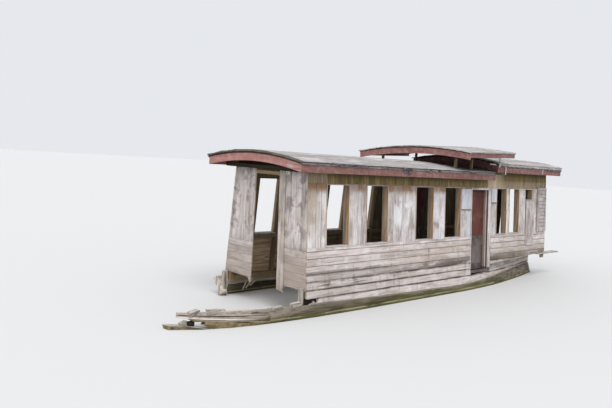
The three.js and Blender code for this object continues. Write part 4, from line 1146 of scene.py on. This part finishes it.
class BOAT_OT_end_walls(bpy.types.Operator):
    """Board the front and aft walls"""

    bl_idname = "boat.end_walls"
    bl_label = "End walls"

    def execute(self, context):
        levels = [0.0, *LAP_TOPS[:5], SILL - 0.05]
        for name, side, joints in (
            ("starboard", -1, (0.2, 0.52, 0.70, 0.86, 1.2)),
            ("port", 1, (0.2, 0.56, 0.67, 0.80, 1.2)),
        ):
            node = f"front_wall_{name}"
            upper = [
                [((0, 0, SILL - 0.049), (0, 0, 1)), self.upright(side, a, 1), self.upright(side, b, -1)]
                for a, b in zip(joints, joints[1:])]
            boards = carved(node, f"{node}_upright_boards", upper)
            weathered(boards, Z, 8, wear=0.005)
            hand_over(boards, "upright_boards", (node,))
            boards = carved(node, f"{node}_level_boards", cells_between(Z, levels, (0.002, 0.001)))
            divide(boards, Y, 16, longer=0.2)
            jitter(boards, lambda co: co.z < self.foot(side, co.y), 0.010, 31)
            worn(boards, 0.002, 0.004)
            hand_over(boards, "level_boards")

        # The post is split along a seam that leans with it
        post = carved("front_door_post", "front_door_post_boards", [
            [((0, 0.315, 2.38), (0, -2.04, -0.095))], [((0, 0.319, 2.38), (0, 2.04, 0.095))]])
        divide(post, Y, 4, test=lambda middle: middle.z < 0.5)
        jitter(post, lambda co: co.z < 0.5, 0.016, 32)
        weathered(post, Z, 14, wear=0.006)
        hand_over(post, "post", ("front_door_post",))
        corbel = blocks("front_header_block", [((FRONT + 0.001, 0.43, 2.325), (FRONT + 0.040, 0.525, 2.415))])
        hand_over(worn(corbel, 0.006), "post")
        for node, finish, slot in (
            ("front_header", "header", "trim_timber"), ("front_cross_beam", "beam", "frame_timber"),
        ):
            dressed(node, f"{node}_worn", finish, Y, 12, wear=0.005)

        joints = [-1.1, -0.86, -0.70, -0.53, -0.16, 0.0, 0.16, 0.53, 0.70, 0.86, 1.1]
        boards = carved("aft_wall", "aft_wall_boards", cells_between(Y, joints, (0.0015, 0.0015)))
        weathered(boards, Z, 8)
        hand_over(boards, "upright_boards", ("aft_wall",))
        return {"FINISHED"}

    def upright(self, side, joint, sign):
        """The plane at a joint, leaning less than the side walls; sign 1 keeps what lies outboard."""
        slant = TUMBLEHOME * 0.7
        outward = (0, side * math.cos(slant), math.sin(slant))
        return (0, side * joint + sign * side * 0.0015, 1.9), tuple(sign * part for part in outward)

    def foot(self, side, y):
        """A height just over the foot of the front wall's boards."""
        return 0.50 if side < 0 and y < -0.40 else 0.46


def felt_strips(name, roof, overhang=0.016, lip=0.022):
    """Lengths of felt side by side along a roof, each lapping the one below, turned down at the fore edge."""
    radius = (roof["half"] ** 2 + roof["rise"] ** 2) / (2 * roof["rise"])
    reach = math.asin(roof["half"] / radius) + overhang / radius
    crown = roof["eave"] + roof["rise"]
    centre = (0, 0, crown - radius)
    count = settings().felt_strips
    fore, aft = roof["ends"][0] + overhang, roof["ends"][1] - overhang
    turn = 2 * reach / count
    lap = FELT_LAP / radius
    strips = []
    for k in range(count):
        lift = 0.002 + 0.003 * min(k, count - 1 - k)
        start = -reach + k * turn - lap / 2
        deselect()
        bpy.ops.mesh.primitive_grid_add(
            x_subdivisions=round((fore - aft) / FELT_CELL), y_subdivisions=1, size=1,
            location=((fore + aft) / 2, 0, crown + lift))
        strip = bpy.context.object
        strip.scale = (fore - aft, 0.004, 1)
        apply_place()
        pick(strip, "EDGE", lambda ends: min(end.x for end in ends) > fore - 0.001)
        bpy.ops.mesh.extrude_region_move(TRANSFORM_OT_translate={"value": (0, 0, -lip)})
        pick(strip, "VERT", lambda co: co.y > 0)
        bpy.ops.mesh.spin(
            steps=max(2, round(turn * radius / ARC_CELL)), angle=turn + lap, center=centre, axis=(1, 0, 0))
        bpy.ops.mesh.select_all(action="SELECT")
        bpy.ops.mesh.remove_doubles(threshold=0.0001)
        mode("OBJECT")
        settle(strip, about(centre, Matrix.Rotation(-start, 4, "X")))
        strips.append(strip)
    felt = merged(strips, name)
    jitter(felt, lambda co: not aft + 0.02 < co.x < fore - 0.02, 0.008, 5)
    wander(felt, 0.034, 0.45, "lap", "Y")
    wander(felt, 0.012, 0.30, "broad", "Z")
    wander(felt, 0.006, 0.07, "fine", "Z")
    modify(felt, "SOLIDIFY", thickness=settings().felt_thickness, offset=1.0)
    return smooth(felt, 50)


def hanging_strip(name, side, ends, y, top, drop, seed, tear=0.012):
    """A torn strip of felt hanging over a roof's edge."""
    deselect()
    run = ends[0] - ends[1]
    bpy.ops.mesh.primitive_grid_add(
        x_subdivisions=max(3, round(run / 0.03)), y_subdivisions=3, size=1, rotation=(math.pi / 2, 0, 0))
    strip = bpy.context.object
    strip.name = name
    strip.scale = (run, drop, 1)
    strip.location = ((ends[0] + ends[1]) / 2, side * y, top - drop / 2)
    apply_place()
    jitter(strip, lambda co: co.z < top - drop * 0.9, tear, seed)
    wander(strip, 0.010, 0.11, f"eave{seed}", "Y")
    wander(strip, tear * 1.4, 0.19, f"tear{seed}", "Z")
    modify(strip, "SOLIDIFY", thickness=0.004)
    return smooth(strip, 50)


def edge_covers(name, finish, strips, seed, place=None):
    """One piece of several hanging strips: each gives its side, ends, reach from the middle, top and drop."""
    parts = [hanging_strip(f"{name}_{k}", *strip, seed + k) for k, strip in enumerate(strips)]
    piece = merged(parts, name)
    if place:
        settle(piece, place)
    hand_over(piece, finish)


class BOAT_OT_main_roof(bpy.types.Operator):
    """Felt the main roof and hang its edge boards and tarred strips"""

    bl_idname = "boat.main_roof"
    bl_label = "Main roof"

    def execute(self, context):
        roof = ROOFS["main"]
        give(NODES["main_roof"], "roof_deck")
        hand_over(felt_strips("main_roof_felt", roof), "felt")
        dressed("main_front_fascia", "main_front_edge_board", "maroon_across")
        ends = (roof["ends"][0] + 0.012, roof["ends"][1])
        y = roof["half"] + 0.009
        eave = roof["eave"]
        for name, side in SIDES:
            board = f"{name}_eave_edge_board"
            dressed(f"{name}_eave_fascia", board, "maroon_length", X, 30, wear=0.006)
            edge_covers(f"{name}_eave_drape", "felt_edge", [(side, ends, y, eave - 0.006, 0.044)], 20 + side)
        edge_covers("main_eave_tar", "tar", [
            (1, (3.33, 2.29), y + 0.007, eave + 0.004, 0.052),
            (1, (1.29, 1.15), y + 0.009, eave - 0.008, 0.080),
            (1, (1.13, 1.01), y + 0.010, eave - 0.006, 0.112),
            (1, (0.52, 0.34), y + 0.008, eave - 0.004, 0.058),
            (1, (0.12, -0.06), y + 0.008, eave - 0.006, 0.048),
            (1, (-1.10, -1.32), y + 0.008, eave - 0.008, 0.044),
            (-1, (3.05, 1.45), y + 0.007, eave + 0.004, 0.052),
            (-1, (-0.30, -0.55), y + 0.008, eave - 0.006, 0.070),
        ], 40)
        return {"FINISHED"}


class BOAT_OT_stern_roof(bpy.types.Operator):
    """Felt the stern roof and hang its edge boards"""

    bl_idname = "boat.stern_roof"
    bl_label = "Stern roof"

    def execute(self, context):
        roof = ROOFS["stern"]
        give(NODES["stern_roof"], "roof_deck")
        hand_over(felt_strips("stern_roof_felt", roof, lip=0.012), "felt")
        dressed("stern_fascia", "stern_edge_boards", "maroon_length")
        y = roof["half"] + 0.006
        eave = roof["eave"]
        fore, aft = roof["ends"]
        sheets = [(side, (fore - 0.02, aft), y + 0.006, eave + 0.004, 0.062) for _, side in SIDES]
        sheets.append((1, (fore + 0.28, fore - 0.08), 1.09, eave - 0.02, 0.030))
        edge_covers("stern_eave_sheet", "felt", sheets, 60)
        dark = [(side, (fore - 0.02, aft), y, eave - 0.040, 0.046) for _, side in SIDES]
        dark += [(side, (-4.75, aft + 0.01), y + 0.008, eave - 0.050, 0.050) for _, side in SIDES]
        edge_covers("stern_eave_tar", "tar", dark, 70)
        loose = blocks("stern_loose_strips", [
            ((-2.665, 1.152, 2.530), (-2.632, 1.164, 2.712)),
            ((-4.592, 1.140, 2.580), (-4.578, 1.150, 2.735)),
        ])
        hand_over(weathered(loose, Z, 4, 0.002, 0.003), "pale_paint")
        return {"FINISHED"}


class BOAT_OT_canopy(bpy.types.Operator):
    """Felt the raised canopy and hang its edge boards"""

    bl_idname = "boat.canopy"
    bl_label = "Canopy"

    def execute(self, context):
        roof = ROOFS["canopy"]
        give(NODES["canopy_roof"], "canopy_deck")
        turn = Matrix.Rotation(CANOPY_PITCH, 4, "Y") @ Matrix.Rotation(CANOPY_TILT, 4, "X")
        tilt = about((roof["ends"][0], 0, roof["eave"]), turn)
        felt = felt_strips("canopy_felt", roof, lip=0.014)
        settle(felt, tilt)
        hand_over(felt, "felt")
        ends = (roof["ends"][0] + 0.010, roof["ends"][1] - 0.010)
        sheets = [(side, ends, roof["half"] + 0.008, roof["eave"] + 0.004, 0.026) for _, side in SIDES]
        edge_covers("canopy_eave_sheet", "felt", sheets, 80, tilt)
        dressed("canopy_fascia", "canopy_edge_boards", "maroon_canopy")
        dressed("canopy_strut", "canopy_hanging_strut", "pale_paint", Z, 6, wear=0.006)
        return {"FINISHED"}


class BOAT_OT_bow(bpy.types.Operator):
    """Cut the port bow into its eroded planks and leave the broken pieces on it and at the cabin's corners"""

    bl_idname = "boat.bow"
    bl_label = "Broken bow"

    def execute(self, context):
        start = at_plane(X, BOW_PLANKS_FROM, 1)
        planks = carved("port_wale", "port_bow_planks", [
            [start, over_line(*UPPER_SEAM, 0.005), under_line(*BOW_EDGE), at_plane(Z, BOW_TOP, -1)],
            [start, under_line(*UPPER_SEAM, 0.005), over_line(*LOWER_SEAM, 0.005)],
            [start, under_line(*LOWER_SEAM, 0.005), ((BOW_GAP, 0, 0.0), (-1, 0, 2.2))],
            [at_plane(X, BOW_GAP - 0.03, 1), under_line(*TONGUE_TOP), ((BOW_TIP, 0, 0.03), (-1, 0, 0.25))],
        ])
        divide(planks, X, 7, longer=0.2)
        jitter(planks, lambda co: co.z > 0.205 or co.x > 5.78, 0.006, 41)
        hand_over(worn(planks, 0.006, 0.008), "bow", ("port_wale",))
        aft = carved("port_wale", "port_gunwale", [[at_plane(X, BOW_PLANKS_FROM, -1)]])
        divide(aft, X, 7, longer=0.2)
        jitter(aft, lambda co: co.z > 0.12, 0.005, 42)
        hand_over(worn(aft, 0.008, 0.010), "bow")
        pieces = chunks("broken_bow_pieces", 1, [
            ((5.50, 0.605, 0.205), (5.68, 0.690, 0.268), 0.16, 0.3),
            ((5.08, 0.715, 0.205), (5.42, 0.800, 0.276), -0.12, 0.36),
            ((4.07, 0.930, 0.190), (4.29, 1.005, 0.236), 0.05, 0.16),
            ((3.68, 0.955, 0.190), (3.88, 1.030, 0.262), 0.1, 0.16),
            ((5.665, 0.545, 0.030), (5.775, 0.610, 0.108), 0.3, 0.16),
            ((3.36, 0.990, 0.150), (3.53, 1.020, 0.200), 0.35, 0.16),
            ((3.27, 0.990, 0.190), (3.40, 1.015, 0.225), -0.5, 0.16),
        ])
        hand_over(worn(pieces, 0.004, angle=30), "drift")
        # Near-black blocks that stand in for shade: in a gap near the bow's tip and in the hole behind the
        # broken sheer plank
        dark = chunks("shade_blocks", 8, [
            ((5.560, 0.585, 0.030), (5.668, 0.650, 0.104), 0.1, 0.16),
            ((3.262, 0.930, 0.150), (3.530, 0.978, 0.330), 0.0, 0.02),
        ])
        hand_over(dark, "shade")
        self.starboard()
        return {"FINISHED"}

    def starboard(self):
        """The stump at the starboard corner, the slab that leans on it and the broken slats beside it."""
        stump = carved("starboard_bow_stub", "starboard_bow_stump", [[at_plane(Y, -1.011, 1)]])
        divide(stump, Z, 5, longer=0.15)
        jitter(stump, lambda co: co.z > 0.4, 0.016, 43)
        hand_over(worn(stump, 0.006, 0.012), "drift_upright", ("starboard_bow_stub",))
        slab = chunks("starboard_leaning_slab", 10, [
            ((3.615, -1.105, 0.00), (3.725, -0.985, 0.355), 0.0, 0.10)])
        settle(slab, about((3.67, -1.045, 0.18), Matrix.Rotation(math.radians(33), 4, "X")))
        hand_over(worn(slab, 0.008, 0.015, 30), "drift_pale")
        slats = []
        for k, (x, turn, tall) in enumerate(((3.17, 0.5, 0.28), (3.08, 0.75, 0.26), (3.00, 1.0, 0.20))):
            low = (x - 0.014, -0.915 + k * 0.012, 0.20 - tall / 2)
            high = (x + 0.014, -0.903 + k * 0.012, 0.20 + tall / 2)
            slats.append((low, high, -turn, 0.12))
        hand_over(worn(chunks("starboard_broken_slats", 50, slats), 0.002), "slat")
        rail = blocks("starboard_inner_rail", [((1.30, -0.930, 0.258), (3.58, -0.900, 0.306))])
        hand_over(weathered(rail, X, 12, 0.004, 0.012), "rail")


class BOAT_OT_hull(bpy.types.Operator):
    """Finish the hull's planks, the timbers inside it and the pieces at the stern"""

    bl_idname = "boat.hull"
    bl_label = "Hull"

    def execute(self, context):
        for node in ("hull_bottom", "keel", "stem_stub", "floor_timbers"):
            give(NODES[node], "wet")
        give(NODES["cabin_floor"], "inside")
        for name, _ in SIDES:
            for part in ("sill_frame_fore", "sill_frame_aft", "window_posts"):
                give(NODES[f"{name}_{part}"], "stud")
            for part in ("main_plate", "stern_plate"):
                give(NODES[f"{name}_{part}"], "roof_deck")
            for part in ("sheer_plank", "quarter_plank", "quarter_soffit"):
                node = f"{name}_{part}"
                plank = copied(node, f"{node}_worn")
                if node == "port_sheer_plank":
                    keeping(plank, [((SHEER_BREAK, 0, 0.25), (-1, 0, -0.5))])
                divide(plank, X, 5, longer=0.3)
                jitter(plank, lambda co: co.x > SHEER_BREAK - 0.12, 0.012, 44)
                finish = "sheer" if part == "sheer_plank" else "quarter"
                hand_over(worn(plank, 0.005, 0.006), finish, (node,))
        dressed("starboard_wale", "starboard_gunwale", "wet", X, 5, edge=0.008, wear=0.010)
        for node, finish in (
            ("transom", "deck_boards"), ("stern_deck", "deck_boards"), ("stern_side_plank", "drift"),
            ("front_corner_stanchion", "drift_upright"),
        ):
            dressed(node, f"{node}_worn", finish, X, 3, edge=0.005, wear=0.006)
        dressed("rudder", "rudder_worn", "wet", body="rudder")
        return {"FINISHED"}


class BOAT_OT_stage(bpy.types.Operator):
    """Set the pale floor at the waterline, the soft light and the camera"""

    bl_idname = "boat.stage"
    bl_label = "Stage"

    def execute(self, context):
        deselect()
        bpy.ops.mesh.primitive_plane_add(size=FLOOR_SIZE, location=(0, 0, 0))
        floor = context.object
        floor.name = "floor"
        paper = Finish("floor_paper")
        paper.plug(paper.shader.inputs["Base Color"], FLOOR_COLOUR)
        paper.plug(paper.shader.inputs["Roughness"], 0.9)
        floor.data.materials.append(paper.material)

        scene = context.scene
        scene.world = bpy.data.worlds.new("overcast")
        scene.world.use_nodes = True
        sky = scene.world.node_tree.nodes["Background"]
        sky.inputs["Color"].default_value = SKY_COLOUR
        sky.inputs["Strength"].default_value = SKY_STRENGTH * settings().key_light
        self.sun("sky_key", (0.45, 0.75, 1.15), 1.65, 35)
        self.sun("sky_front", (1.2, 0.1, 0.8), 0.85, 60)
        scene.view_settings.view_transform = "Standard"

        camera = bpy.data.cameras.new("camera")
        camera.lens = settings().lens
        camera.sensor_width = SENSOR_WIDTH
        camera.clip_end = FAR_CLIP
        holder = bpy.data.objects.new("camera", camera)
        scene.collection.objects.link(holder)
        ahead = Vector(CAMERA_AHEAD).normalized()
        above = Vector(CAMERA_RIGHT).normalized().cross(ahead).normalized()
        turn = Matrix((ahead.cross(above), above, -ahead)).transposed().to_4x4()
        holder.matrix_world = Matrix.Translation(CAMERA_AT) @ turn
        scene.camera = holder
        return {"FINISHED"}

    def sun(self, name, towards, strength, softness):
        """A broad light that comes from the given direction."""
        light = bpy.data.lights.new(name, "SUN")
        light.energy = strength * settings().key_light
        light.angle = math.radians(softness)
        holder = bpy.data.objects.new(name, light)
        bpy.context.scene.collection.objects.link(holder)
        holder.rotation_euler = Vector(towards).to_track_quat("Z", "Y").to_euler()


STEPS = (
    BOAT_OT_stage, BOAT_OT_hull, BOAT_OT_bow, BOAT_OT_lower_planks, BOAT_OT_upper_boards, BOAT_OT_windows,
    BOAT_OT_doors, BOAT_OT_end_walls, BOAT_OT_main_roof, BOAT_OT_stern_roof, BOAT_OT_canopy,
)


class BOAT_PT_panel(bpy.types.Panel):
    """Lists the boat's steps in the sidebar"""

    bl_label = "River Cabin Boat"
    bl_space_type = "VIEW_3D"
    bl_region_type = "UI"
    bl_category = "River Boat"

    def draw(self, context):
        for prop in BoatSettings.__annotations__:
            self.layout.prop(context.scene.boat, prop)
        for step in STEPS:
            self.layout.operator(step.bl_idname)


CLASSES = (BoatSettings, *STEPS, BOAT_PT_panel)


def register():
    for each in CLASSES:
        bpy.utils.register_class(each)
    bpy.types.Scene.boat = bpy.props.PointerProperty(type=BoatSettings)


def unregister():
    del bpy.types.Scene.boat
    for each in reversed(CLASSES):
        bpy.utils.unregister_class(each)


def main():
    register()
    for step in STEPS:
        group, action = step.bl_idname.split(".")
        getattr(getattr(bpy.ops, group), action)()


if __name__ == "__main__":
    main()
